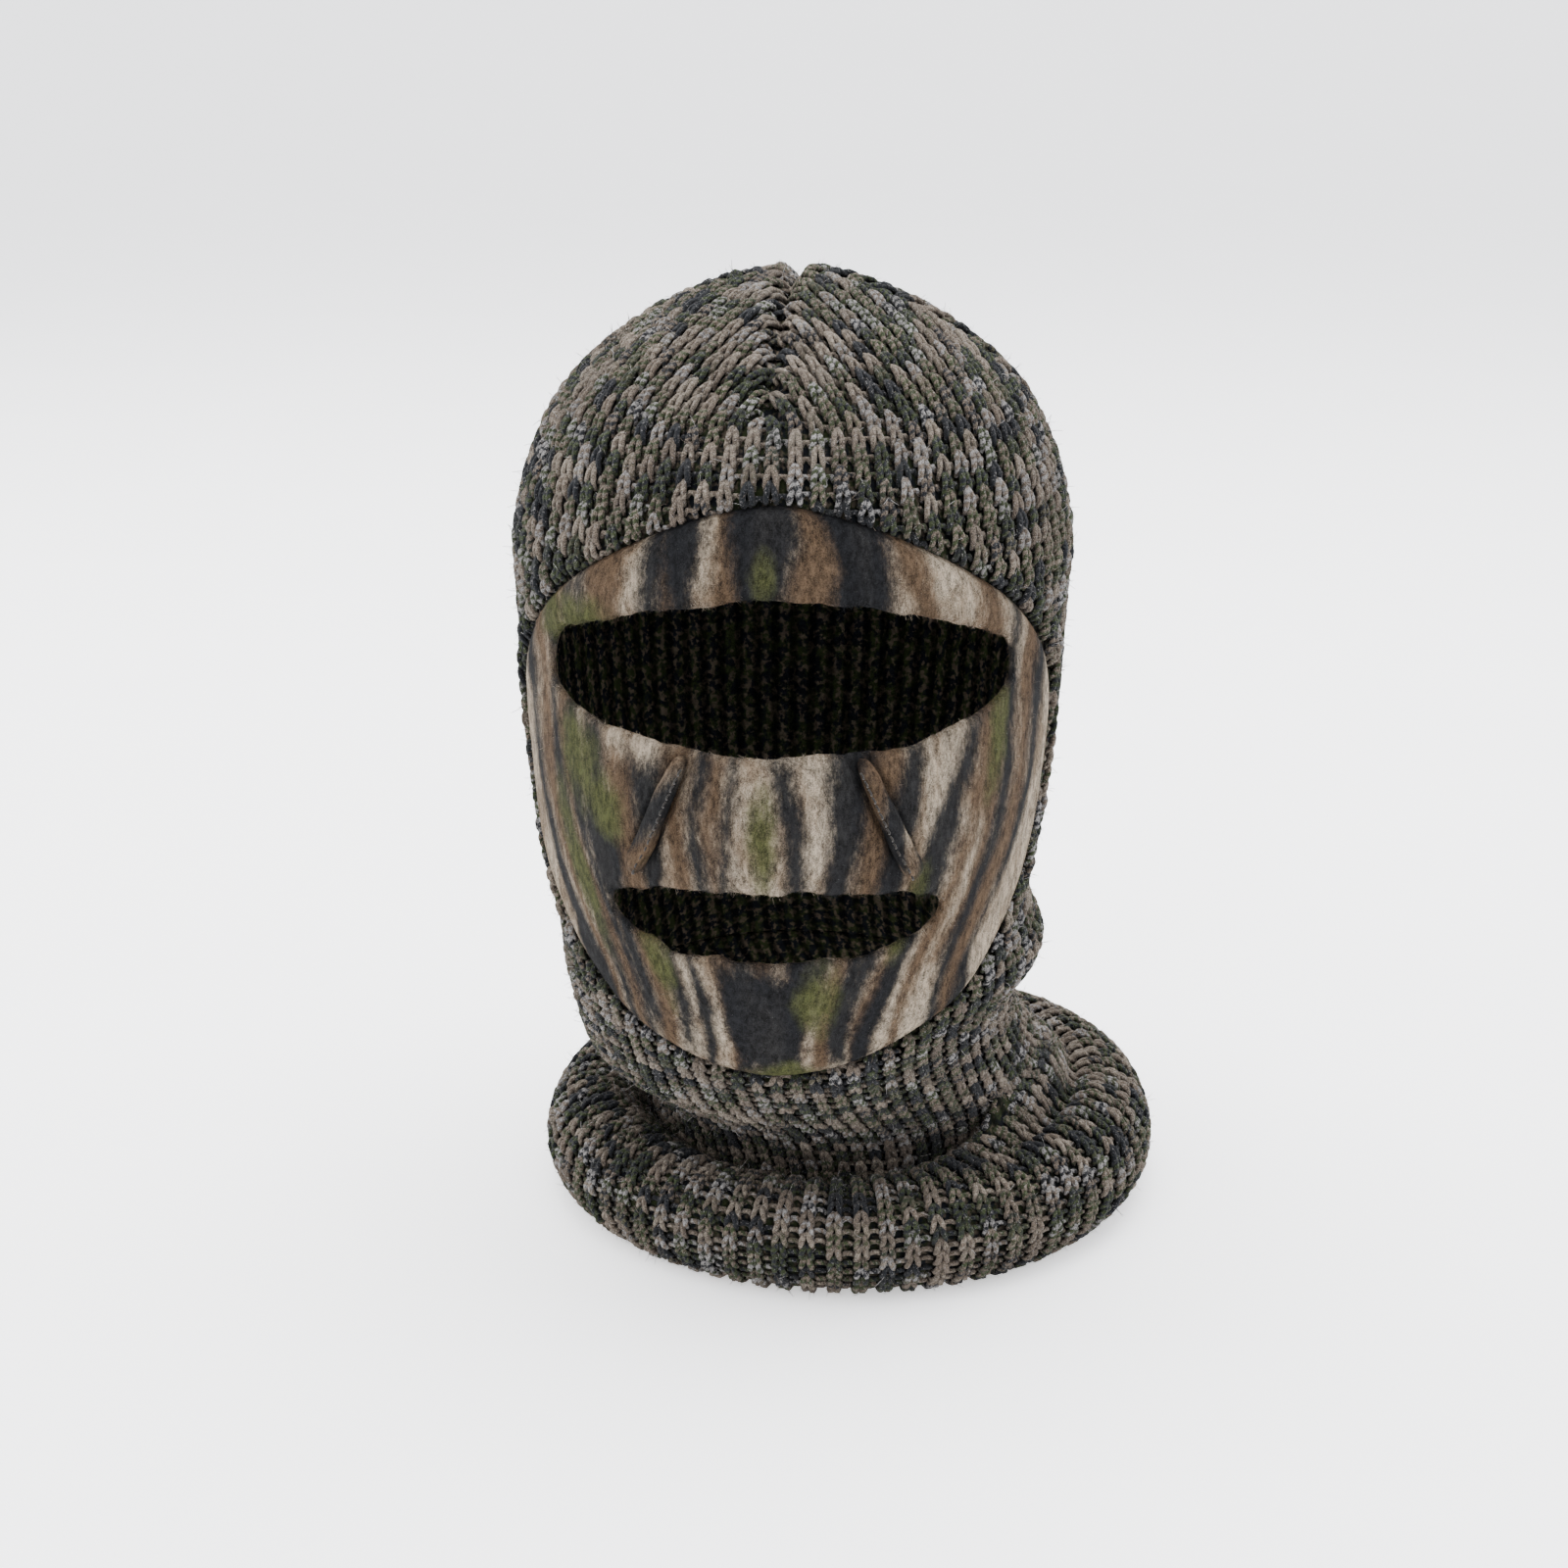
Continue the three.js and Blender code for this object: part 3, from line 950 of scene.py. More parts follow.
class Tubes:
    """A batch of short yarn runs of one kind, as closed round-ended tubes."""

    def __init__(self, sides: int) -> None:
        """Set how many sides each tube has."""
        self.sides = sides

    def add_to(self, parts: MeshParts, lines: Array, outward: Array, radii: Array,
               plies: tuple[Array, Array], cells: tuple[int, int]) -> None:
        """Add the tubes to a piece.

        Args:
            parts: the piece being gathered.
            lines: the tubes' centre lines, shape (tubes, rows, 3).
            outward: which way is out at each centre, the same shape.
            radii: the radius at each centre, shape (tubes, rows).
            plies: two colours for each tube.
            cells: the first cell that these tubes take in the piece's map, and the cells in a row of it.
        """
        count, rows, _ = lines.shape
        sides = self.sides
        ahead = unit(np.gradient(lines, axis=1))
        across = unit(np.cross(ahead, outward))
        up = np.cross(across, ahead)
        angle = 2 * np.pi * np.arange(sides) / sides
        ring = (
            across[:, :, None] * np.cos(angle)[:, None]
            + up[:, :, None] * np.sin(angle)[:, None]
        ) * radii[:, :, None, None]
        points = (lines[:, :, None] + ring).reshape(-1, 3)
        quads = ring_faces(rows, sides)
        number = quads[..., 0] * sides + quads[..., 1] % sides
        first = (np.arange(count) * rows * sides)[:, None, None]
        walls = (first + number[None]).reshape(-1, 4)
        ends = np.concatenate([
            first[:, 0] + np.arange(sides)[::-1][None],
            first[:, 0] + (rows - 1) * sides + np.arange(sides)[None],
        ], axis=1).reshape(-1, sides)
        length = np.concatenate([
            np.zeros((count, 1)), np.cumsum(np.linalg.norm(np.diff(lines, axis=1), axis=-1), axis=1),
        ], axis=1) / MM
        phase = (np.arange(count) * 0.37 % 1)[:, None]
        wall_u = length[:, quads[..., 0]]
        wall_v = np.broadcast_to(quads[..., 1] / sides, wall_u.shape)
        strand = stack(wall_u + phase[:, :, None] * 3, wall_v).reshape(-1, 4, 2)
        start, per_row = cells
        cell = start + np.arange(count)
        low = stack(cell % per_row, cell // per_row) / per_row
        size, margin = 0.9 / per_row, 0.05 / per_row
        share = stack(quads[..., 0] / (rows - 1), quads[..., 1] / sides)
        mapped = (low[:, None, None] + margin + share[None] * size).reshape(-1, 4, 2)
        tip = np.concatenate([np.zeros((count, sides, 2)), np.ones((count, sides, 2))], axis=1)
        tip[..., 1] = np.tile(np.arange(sides) / sides, 2)
        tip_map = (low[:, None] + margin + tip * size).reshape(-1, sides, 2)
        tip_strand = tip.reshape(-1, sides, 2)
        main, other = (np.repeat(p, rows * sides, axis=0) for p in plies)
        parts.add(
            points, [walls, ends], {"main_ply": main, "other_ply": other},
            {"OFBake": [mapped, tip_map], "strand": [strand, tip_strand]},
        )


# ------------------------------ the knit


@dataclass
class StitchShape:
    """One rib stitch: two legs that meet at the top, and the bar in the recess beside them.

    Legs lie a number of millimetres to each side of the wale's middle, and bars at shares of the way to the
    next wale. Both lie at shares of a course along the knit and a number of millimetres out from its face.
    """

    yarn: float = 0.87 * MM
    leg_side: tuple[float, ...] = (0.15, 0.42, 0.85, 1.22, 1.5, 1.62)
    leg_along: tuple[float, ...] = (0.72, 0.5, 0.18, -0.16, -0.48, -0.78)
    leg_out: tuple[float, ...] = (-2.5, -1.15, -0.7, -0.75, -1.25, -2.5)
    bar_side: tuple[float, ...] = (0.2, 0.4, 0.6, 0.8)
    bar_along: tuple[float, ...] = (-0.3, -0.02, -0.02, -0.3)
    bar_out: tuple[float, ...] = (-2.9, -2.15, -2.15, -2.9)
    leg_swell: tuple[float, ...] = (0.7, 0.95, 1.05, 1.05, 0.95, 0.7)
    plain_pitch: float = 6.6 * MM


class YarnColours:
    """The marled yarn's colours: short runs of one ply along a course, in loose patches."""

    STEPS = (("night", -9.0), ("night", -0.42), ("olive", -0.3), ("olive", 0.02), ("taupe", 0.12),
             ("taupe", 0.6), ("sand", 0.95))
    FLECKED = 0.2

    def __init__(self, seed: int) -> None:
        """Fill the runs and the patches from a seed."""
        self.random = np.random.default_rng(seed)
        self.patches = LatticeNoise(seed + 1)
        self.runs = LatticeNoise(seed + 2)

    def pick(self, points: Array, course: Array, wale: Array) -> tuple[Array, Array]:
        """Choose two plies for each stitch.

        Args:
            points: where the stitches are.
            course: each stitch's course number.
            wale: each stitch's wale number.

        Returns:
            The main and the other ply's colours.
        """
        run = self.runs.at(stack(wale * 0.62, course * 0.9, 0.5))
        patch = self.patches.layers(points / (34 * MM), 2)
        tone = 1.05 * run + 0.5 * patch + self.random.normal(0, 0.38, len(points))
        main = self.dyed(tone)
        other = self.dyed(tone + self.random.choice([-0.75, -0.4, 0.4, 0.7], len(points)))
        flecked = (self.random.random(len(points)) < self.FLECKED)[:, None]
        other = np.where(flecked, np.array(PALETTE.ash) * 0.5, other)
        glow = self.random.uniform(0.82, 1.2, (len(points), 1))
        return main * glow, other * glow

    def dyed(self, tone: Array) -> Array:
        """The colour of each tone, from near black through olive and taupe to sand."""
        names, starts = zip(*self.STEPS)
        return stack(*(np.interp(tone, starts, [getattr(PALETTE, n)[i] for n in names]) for i in range(3)))


class KnitMap:
    """Turns a wale, a course and small offsets into places on a soft surface."""

    wales: int = 76

    def locate(self, wale: Array, course: Array, side: Array, out: Array) -> tuple[Array, Array]:
        """Find places.

        Args:
            wale: the wale's number.
            course: the course's number, which may lie between two courses.
            side: distance to one side of the wale's middle.
            out: distance out from the knit's outer face.

        Returns:
            The points and the outward direction at each.
        """
        raise NotImplementedError

    def pitch(self, wale: Array, course: Array) -> Array:
        """The distance from one wale to the next."""
        raise NotImplementedError

    def kept(self, wale: Array, course: Array) -> Array:
        """Whether a stitch is on the cloth."""
        raise NotImplementedError


class HeadKnit(KnitMap):
    """The hood's and the neck's knit, with wales cut off at the four crown darts and at the face panel."""

    HOOD_FOOT = 66 * MM
    RIM = 1.1 * MM
    OVERLAP = 1.6 * MM
    CROWN = 0.9985
    COURSE_GAPS = ((60 * MM, 3.7 * MM), (150 * MM, 4.7 * MM), (250 * MM, 5.1 * MM))

    def __init__(self, form: HeadForm, face: Outline) -> None:
        """Lay the courses out on the form.

        Args:
            form: the head form.
            face: the face panel's outline.
        """
        self.form, self.face = form, face
        self.wobble = LatticeNoise(5)
        rises = np.linspace(0, 1, 3001)
        heights = form.height_at(rises)
        side = form.plain(np.full(rises.shape, 90.0), rises)
        along = run_length(side)
        gap = np.interp(heights, *zip(*self.COURSE_GAPS))
        number = np.concatenate([[0], np.cumsum(np.diff(along) / gap[1:])])
        self.courses = int(number[-1])
        self.rises = np.interp(np.arange(-1, self.courses + 2), number, rises)
        self.split = int(np.interp(self.HOOD_FOOT, heights, number))

    def rise_of(self, course: Array) -> Array:
        """The rise of a course."""
        return np.interp(course, np.arange(-1, self.courses + 2), self.rises)

    def turn_of(self, wale: Array, rise: Array) -> Array:
        """The turn of a wale's middle at a rise; above the dart feet the wales stay side by side.

        Args:
            wale: the wale's number.
            rise: from the neck's foot to the crown.

        Returns:
            The turns, in degrees.
        """
        turn, gore = self.foot_turns(wale)
        half = blend_points(self.form.levels, np.asarray(rise, float))[..., 2]
        foot = blend_points(self.form.levels, np.array(self.form.dart_rise))[2]
        spread = np.maximum(1, foot / np.maximum(half, 1 * MM))
        return np.where(np.asarray(rise) > self.form.dart_rise, gore + (turn - gore) * spread, turn)

    def foot_turns(self, wale: Array) -> tuple[Array, Array]:
        """The turn of a wale's middle below the dart feet, and of the middle of its crown gore."""
        turn = wale * 360 / self.wales + self.form.dart_turn + 180 / self.wales
        return turn, (turn - self.form.dart_turn) // 90 * 90 + 45 + self.form.dart_turn

    def pitch(self, wale: Array, course: Array) -> Array:
        """The distance from one wale to the next.

        Args:
            wale: the wale's number.
            course: the course's number.

        Returns:
            The distances, in metres.
        """
        rise = self.rise_of(course)
        arc = self.form.arc_per_degree(self.turn_of(wale, rise), np.minimum(rise, self.form.dart_rise))
        return arc * 360 / self.wales

    def kept(self, wale: Array, course: Array) -> Array:
        """Whether a stitch is outside the face panel and inside its crown gore.

        Args:
            wale: the wale's number.
            course: the course's number.

        Returns:
            True for each stitch that is on the cloth.
        """
        rise = self.rise_of(course)
        turn = self.turn_of(wale, rise)
        _, gore = self.foot_turns(wale)
        arc = self.form.arc_per_degree(turn, rise)
        inside = np.abs(turn - gore) * arc < 45 * arc - 0.4 * MM
        *_, inward = self.tuck(turn, rise, 0.0)
        return inside & (inward < self.OVERLAP) & (rise < self.CROWN)

    def tuck(self, turn: Array, rise: Array, gap: float) -> tuple[Array, Array, Array]:
        """Move places that lie on the face panel to a line just outside its outline.

        Args:
            turn: degrees about the head.
            rise: from the neck's foot to the crown.
            gap: how far outside the outline the line lies.

        Returns:
            The new turns and rises, and how far each place lay inside the line.
        """
        near = (turn + 180) % 360 - 180
        distance, edge, angle = self.face.edge(near * self.face.arc, self.form.height_at(rise))
        rim = edge + gap
        inward = np.where(np.abs(near) > FACE_REACH, -1.0, rim - distance)
        moved = inward > 0
        turn = np.where(moved, rim * np.cos(angle) / self.face.arc, turn)
        rise = np.where(moved, self.form.rise_at(self.face.middle + rim * np.sin(angle)), rise)
        return turn, rise, inward

    def locate(self, wale: Array, course: Array, side: Array, out: Array) -> tuple[Array, Array]:
        """Find places on the hood or neck; cloth that would lie on the face panel is turned under.

        Args:
            wale: the wale's number.
            course: the course's number, which may lie between two courses.
            side: distance to one side of the wale's middle.
            out: distance out from the knit's outer face.

        Returns:
            The points and the outward direction at each.
        """
        rise = self.rise_of(course)
        turn = self.turn_of(wale, rise)
        waver = self.wobble.at(stack(wale * 0.7, course * 0.21, 3.3)) * 0.55 * MM
        turn = turn + (side + waver) / np.maximum(self.form.arc_per_degree(turn, rise), 1e-5)
        turn, rise, inward = self.tuck(turn, rise, self.RIM)
        puff = 1.0 * MM * hump(inward, -4 * MM, 4 * MM)
        lift = out - 1.1 * np.clip(inward, 0, 6 * MM) + puff
        return self.form.point(turn, rise, lift), self.form.outward(turn, rise)


@dataclass
class RollForm:
    """The rolled hem's surface: a soft ring that lies on the table and climbs the neck on its fuller side."""

    form: HeadForm
    start: float = 205.0
    end: float = -78.0
    flat: float = 0.9
    bulge: float = 1.4 * MM
    overlap: float = 0.9 * MM
    climb_turn: float = 88.0
    climb_spread: float = 46.0
    climb_foot: float = 36 * MM
    climb_height: float = 26 * MM
    fold: float = 5 * MM

    def __post_init__(self) -> None:
        """Set the noise that makes the roll uneven."""
        self.uneven = LatticeNoise(11)
        self.plain = self.form.hem_thickness / 1.9

    def radius(self, turn: Array) -> Array:
        """The roll's section radius.

        Args:
            turn: degrees about the neck.

        Returns:
            The radii, in metres.
        """
        across, along = (wave(np.radians(turn)) * 2.3 + 9 for wave in (np.sin, np.cos))
        ripple = self.uneven.at(stack(across, along, 4.5)) * MM
        return self.plain + ripple + self.bulge * hump_round(turn, 75, 40)

    def point(self, turn: Array, round_angle: Array, out: Array | float) -> tuple[Array, Array]:
        """A place on the roll.

        Args:
            turn: degrees about the neck.
            round_angle: degrees round the roll's section; 0 is outward and 90 is up.
            out: distance out from the surface.

        Returns:
            The points and the outward directions.
        """
        radius = self.radius(turn)
        angle, around = np.radians(turn), np.radians(round_angle)
        side = stack(np.sin(angle), -np.cos(angle), 0)
        form = self.form
        centre = stack(
            form.axis_x + form.hem_sway + (form.hem_width / 2 - self.plain) * np.sin(angle),
            form.axis_y + form.hem_back - (form.hem_depth / 2 - self.plain) * np.cos(angle),
            self.flat * radius,
        )
        outward = side * np.cos(around)[..., None] + stack(0, 0, 1) * np.sin(around)[..., None]
        neck = form.point(turn, form.rise_at(self.flat * radius), np.zeros(np.shape(radius)))
        gap = ((centre - side * radius[..., None] - neck) * side).sum(axis=-1)
        hug = np.clip(gap + self.overlap, 0, 8 * MM) * hump(round_angle, 180, 34)
        points = centre + outward * (radius + out + hug)[..., None]
        fuller = hump_round(turn, self.climb_turn, self.climb_spread)
        climb = smooth(48, self.start, round_angle)
        share = climb * (1 - smooth(self.start, 278, round_angle)) * fuller
        level = form.rise_at(self.climb_foot + self.climb_height * climb)
        brim = form.point(turn, level, out + self.fold * (1 - share))
        lean = unit(form.outward(turn, level) + stack(0, 0, 0.7))
        points = points + (brim - points) * share[..., None]
        outward = unit(outward + (lean - outward) * share[..., None])
        folds = self.fold * (hump(round_angle, 138, 20) - hump(round_angle, 104, 12))
        points = points + outward * (folds * fuller)[..., None]
        points[..., 2] = np.maximum(points[..., 2], 1.05 * MM)
        return points, outward


class RollKnit(KnitMap):
    """The rolled hem's knit: wales run over the roll, from the hollow beside the neck to underneath."""

    COURSE_GAP = 3.75 * MM

    def __init__(self, roll: RollForm) -> None:
        """Lay the courses out round the roll's section.

        Args:
            roll: the roll's surface.
        """
        self.roll = roll
        self.wobble = LatticeNoise(6)
        self.courses = round(math.radians(roll.start - roll.end) * roll.plain / self.COURSE_GAP)

    def angle_of(self, course: Array) -> Array:
        """Degrees round the section of a course; higher courses lie nearer the neck."""
        return self.roll.end + (self.roll.start - self.roll.end) * np.asarray(course) / self.courses

    def pitch(self, wale: Array, course: Array) -> Array:
        """The distance from one wale to the next.

        Args:
            wale: the wale's number.
            course: the course's number.

        Returns:
            The distances, in metres.
        """
        angle, step = self.angle_of(course), 360 / self.wales
        none = np.zeros(np.shape(wale))
        here, there = (self.roll.point(turn, angle, none)[0] for turn in (wale * step, wale * step + step))
        return np.linalg.norm(here - there, axis=-1)

    def kept(self, wale: Array, course: Array) -> Array:
        """Every stitch is on the cloth."""
        return np.ones(np.shape(wale), bool)

    def locate(self, wale: Array, course: Array, side: Array, out: Array) -> tuple[Array, Array]:
        """Find places on the roll.

        Args:
            wale: the wale's number.
            course: the course's number, which may lie between two courses.
            side: distance to one side of the wale's middle.
            out: distance out from the knit's outer face.

        Returns:
            The points and the outward direction at each.
        """
        waver = self.wobble.at(stack(wale * 0.7, course * 0.2, 1.1)) * 0.6 * MM
        middle = self.roll.form.hem_width / 2 * math.pi / 180
        turn = wale * 360 / self.wales + (side + waver) / middle
        return self.roll.point(turn, self.angle_of(course), out)


@dataclass
class KnitPiece:
    """A stretch of rib knit, made stitch by stitch."""

    name: str
    knit: KnitMap
    low: int
    high: int
    first_wale: int
    last_wale: int
    material: bpy.types.Material
    shape: StitchShape = field(default_factory=StitchShape)

    def build(self, colours: YarnColours) -> bpy.types.Object:
        """Make the piece's stitches.

        Args:
            colours: what colours the yarn.

        Returns:
            The new piece.
        """
        wale, course = np.meshgrid(
            np.arange(self.first_wale, self.last_wale), np.arange(self.low, self.high), indexing="ij"
        )
        wale, course = wale.ravel().astype(float), course.ravel().astype(float)
        keep = self.knit.kept(wale, course)
        wale, course = wale[keep], course[keep]
        random = np.random.default_rng(self.low * 1000 + self.first_wale)
        middle, _ = self.knit.locate(wale, course, np.zeros(len(wale)), np.zeros(len(wale)))
        plies = colours.pick(middle, course, wale)
        parts = MeshParts()
        per_row = math.ceil(math.sqrt(3 * len(wale)))
        thick = self.shape.yarn * random.uniform(0.9, 1.12, (len(wale), 1))
        for number, hand in enumerate((-1, 1)):
            lines, outward = self.leg(wale, course, hand, random)
            radii = thick * np.array(self.shape.leg_swell)
            Tubes(6).add_to(parts, lines, outward, radii, plies, (number * len(wale), per_row))
        lines, outward = self.bar(wale, course, random)
        radii = np.broadcast_to(0.9 * thick, lines.shape[:2])
        Tubes(5).add_to(parts, lines, outward, radii, plies, (2 * len(wale), per_row))
        return parts.piece(self.name, self.material)

    def leg(self, wale: Array, course: Array, hand: int, random: np.random.Generator) -> tuple[Array, Array]:
        """The centre lines of the stitches' legs on one side.

        Args:
            wale: each stitch's wale number.
            course: each stitch's course number.
            hand: -1 for one side and 1 for the other.
            random: where the unevenness is drawn from.

        Returns:
            The lines and the outward directions, shape (stitches, points, 3).
        """
        shape, count = self.shape, len(wale)
        wider = np.clip(self.knit.pitch(wale, course) / shape.plain_pitch, 0.85, 1.15)[:, None]
        lean = random.normal(0, 0.05, (count, 1))
        side = hand * np.array(shape.leg_side) * MM * wider
        side = side + random.normal(0, 0.1 * MM, side.shape)
        along = course[:, None] + np.array(shape.leg_along) + lean
        out = np.array(shape.leg_out) * MM + random.normal(0, 0.16 * MM, (count, 1))
        return self.knit.locate(np.broadcast_to(wale[:, None], along.shape), along, side, out)

    def bar(self, wale: Array, course: Array, random: np.random.Generator) -> tuple[Array, Array]:
        """The centre lines of the bars that join each stitch to the next.

        Args:
            wale: each stitch's wale number.
            course: each stitch's course number.
            random: where the unevenness is drawn from.

        Returns:
            The lines and the outward directions, shape (stitches, points, 3).
        """
        side = np.array(self.shape.bar_side) * self.knit.pitch(wale, course)[:, None]
        along = course[:, None] + np.array(self.shape.bar_along) + random.normal(0, 0.06, (len(wale), 1))
        out = np.broadcast_to(np.array(self.shape.bar_out) * MM, along.shape)
        return self.knit.locate(np.broadcast_to(wale[:, None], along.shape), along, side, out)

    def fuzz(self, density: float) -> bpy.types.Object:
        """Make the loose fibres that stand out of the stitches.

        Args:
            density: fibres for each stitch.

        Returns:
            The new piece.
        """
        random = np.random.default_rng(self.low * 77 + self.first_wale)
        count = int((self.last_wale - self.first_wale) * (self.high - self.low) * density)
        wale = random.integers(self.first_wale, self.last_wale, count).astype(float)
        course = random.uniform(self.low, self.high - 1, count)
        keep = self.knit.kept(wale, course)
        wale, course = wale[keep], course[keep]
        side = random.uniform(-1.9, 1.9, len(wale)) * MM
        roots, outward = self.knit.locate(wale, course, side, random.uniform(-1.6, -0.2, len(wale)) * MM)
        tones = np.array([PALETTE.taupe, PALETTE.sand, PALETTE.ash, PALETTE.olive])
        tones = tones[random.integers(0, 4, len(wale))]
        name = self.name.replace("knit", "fuzz")
        return Fuzz(len(wale)).build(name, roots, outward, tones, self.material)


# ------------------------------ assemblies


@dataclass
class Knitwear:
    """The hood, the neck and the rolled hem: one knitted tube, with its ground cloth under the stitches."""

    form: HeadForm
    face: Outline
    ground_out: float = -2.7 * MM
    ground_in: float = -4.3 * MM
    rim_gap: float = 0.5 * MM
    cut_back: float = 5 * MM
    seed: int = 21

    def __post_init__(self) -> None:
        """Make the finishes and lay the knit out."""
        self.yarn, self.ground = YarnFinish().build(), GroundFinish().build()
        self.head, self.roll = HeadKnit(self.form, self.face), RollForm(self.form)
        self.colours = YarnColours(self.seed)

    def build(self) -> None:
        """Make every knitted piece and hide the frame's knit parts that they replace."""
        quarters = ("front_left", "back_left", "back_right", "front_right")
        split, rolled = self.head.split, RollKnit(self.roll)
        hood_stitches = self.stitches("hood_knit", quarters, self.head, (split, self.head.courses + 1), 1.8)
        neck_stitches = self.stitches("neck_knit", SIDES, self.head, (0, split), 1.4)
        roll_stitches = self.stitches("roll_knit", SIDES, rolled, (0, rolled.courses), 1.6)
        hood, neck = self.shell("hood_ground", domed=True), self.shell("neck_ground", domed=False)
        core = self.roll_core()
        for piece in (hood, *hood_stitches):
            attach(piece, Body.HOOD.value)
        for piece in (neck, *neck_stitches):
            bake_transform(piece)
        for piece in (core, *roll_stitches):
            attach(piece, Body.HEM.value)
        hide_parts("knit_hood", "chin_band")
        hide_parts("neck_tube")
        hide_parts("hem_roll")

    def stitches(self, word: str, sides: tuple[str, ...], knit: KnitMap, courses: tuple[int, int],
                 fibres: float) -> list[bpy.types.Object]:
        """Make a band of stitches, in several pieces that go round the head.

        Args:
            word: the start of the pieces' names.
            sides: the rest of each name, from the face's middle round by the wearer's left.
            knit: where the stitches lie.
            courses: the first course, and the one past the last.
            fibres: loose fibres for each stitch.

        Returns:
            Each piece of stitches and its loose fibres.
        """
        wales = KnitMap.wales // len(sides)
        made = []
        for index, side in enumerate(sides):
            piece = KnitPiece(f"{word}_{side}", knit, *courses, index * wales, (index + 1) * wales, self.yarn)
            made += [piece.build(self.colours), piece.fuzz(fibres)]
        return made

    def shell(self, name: str, domed: bool) -> bpy.types.Object:
        """The knit's ground: a thin closed shell under the stitches, open at the face and at its lower edge.

        Args:
            name: the piece's name.
            domed: whether this is the hood, which closes at the crown.

        Returns:
            The new piece.
        """
        knit, around, step = self.head, 228, 0.5
        low, high = (knit.split - 0.5, knit.courses + 0.4) if domed else (-0.8, knit.split - 0.5)
        turns = np.linspace(0, 360, around, endpoint=False)
        course, turn = np.meshgrid(np.arange(low, high, step), turns, indexing="ij")
        turn, rise, inward = knit.tuck(turn, knit.rise_of(course), self.rim_gap)
        deep = inward > self.rim_gap + self.cut_back
        rows, total = len(turn), turn.size
        number = np.arange(total).reshape(rows, around)
        faces = cell_corners(number)[~cell_corners(deep).any(-1)]
        border = open_edges(faces)
        if domed:
            border = border[~np.isin(border[:, 1], number[-1])]
        spread = np.tile(stack(turn.ravel() / 360 % 1, np.repeat(np.arange(rows) / rows, around)), (2, 1))
        batches = [faces, faces[:, ::-1] + total, wall_faces(border, 0, total)]
        maps = [
            sheet_map(spread, batches[0], (0.01, 0.02), (0.48, 0.92)),
            sheet_map(spread, batches[1], (0.51, 0.02), (0.48, 0.92)),
            edge_map(len(border), 0.965, 0.975),
        ]
        if domed:
            top = number[-1][None]
            batches += [top, top[:, ::-1] + total]
            maps += [ring_map(around, (middle, 0.986), 0.008)[None] for middle in (0.3, 0.7)]
        outer = self.form.point(turn, rise, self.ground_out).reshape(-1, 3)
        inner = self.form.point(turn, rise, self.ground_in, crease=0.6).reshape(-1, 3)
        rib = stack(turn / 360 * KnitMap.wales, course, 0).reshape(-1, 3)
        # the inside layer gets 1 as its third rib value, which the ground finish lightens as painted light
        ribs = np.concatenate([rib, rib + [0, 0, 1]])
        parts = MeshParts()
        parts.add(np.concatenate([outer, inner]), batches, {"rib": ribs}, {"OFBake": maps})
        return parts.piece(name, self.ground)

    def roll_core(self) -> bpy.types.Object:
        """The rolled hem's inner layers, under its stitches.

        Returns:
            The new piece.
        """
        around, sides = 190, 40
        turns, angles = (np.linspace(0, 360, count, endpoint=False) for count in (around, sides))
        turn, angle = np.meshgrid(turns, angles, indexing="ij")
        points, _ = self.roll.point(turn, angle, np.full(turn.shape, self.ground_out))
        number = np.arange(around * sides).reshape(around, sides)
        faces = cell_corners(np.vstack([number, number[:1]])).reshape(-1, 4)[:, ::-1]
        at_seam = np.ptp(angle.ravel()[faces], axis=1) >= 180
        rib = stack(turn / 360 * KnitMap.wales, angle / 12, 0).reshape(-1, 3)
        places = stack(turn / 360, 0.02 + 0.94 * (angle / 360)).reshape(-1, 2)
        upper, last = faces[~at_seam], faces[at_seam]
        maps = [sheet_map(places, upper, (0.01, 0.0), (0.97, 0.98)), edge_map(len(last), 0.98, 0.99)]
        parts = MeshParts()
        parts.add(points.reshape(-1, 3), [upper, last], {"rib": rib}, {"OFBake": maps})
        return parts.piece("roll_core", self.ground)


@dataclass
class Streak:
    """One upright streak of the printed bark: its place, half its width, its tone, its ends and its lean."""

    across: float
    width: float
    tone: Tone
    top: float = 270.0
    bottom: float = 50.0
    lean: float = 0.0


@dataclass
class Moss:
    """A soft patch of moss green on the printed bark."""

    across: float
    height: float
    wide: float
    tall: float


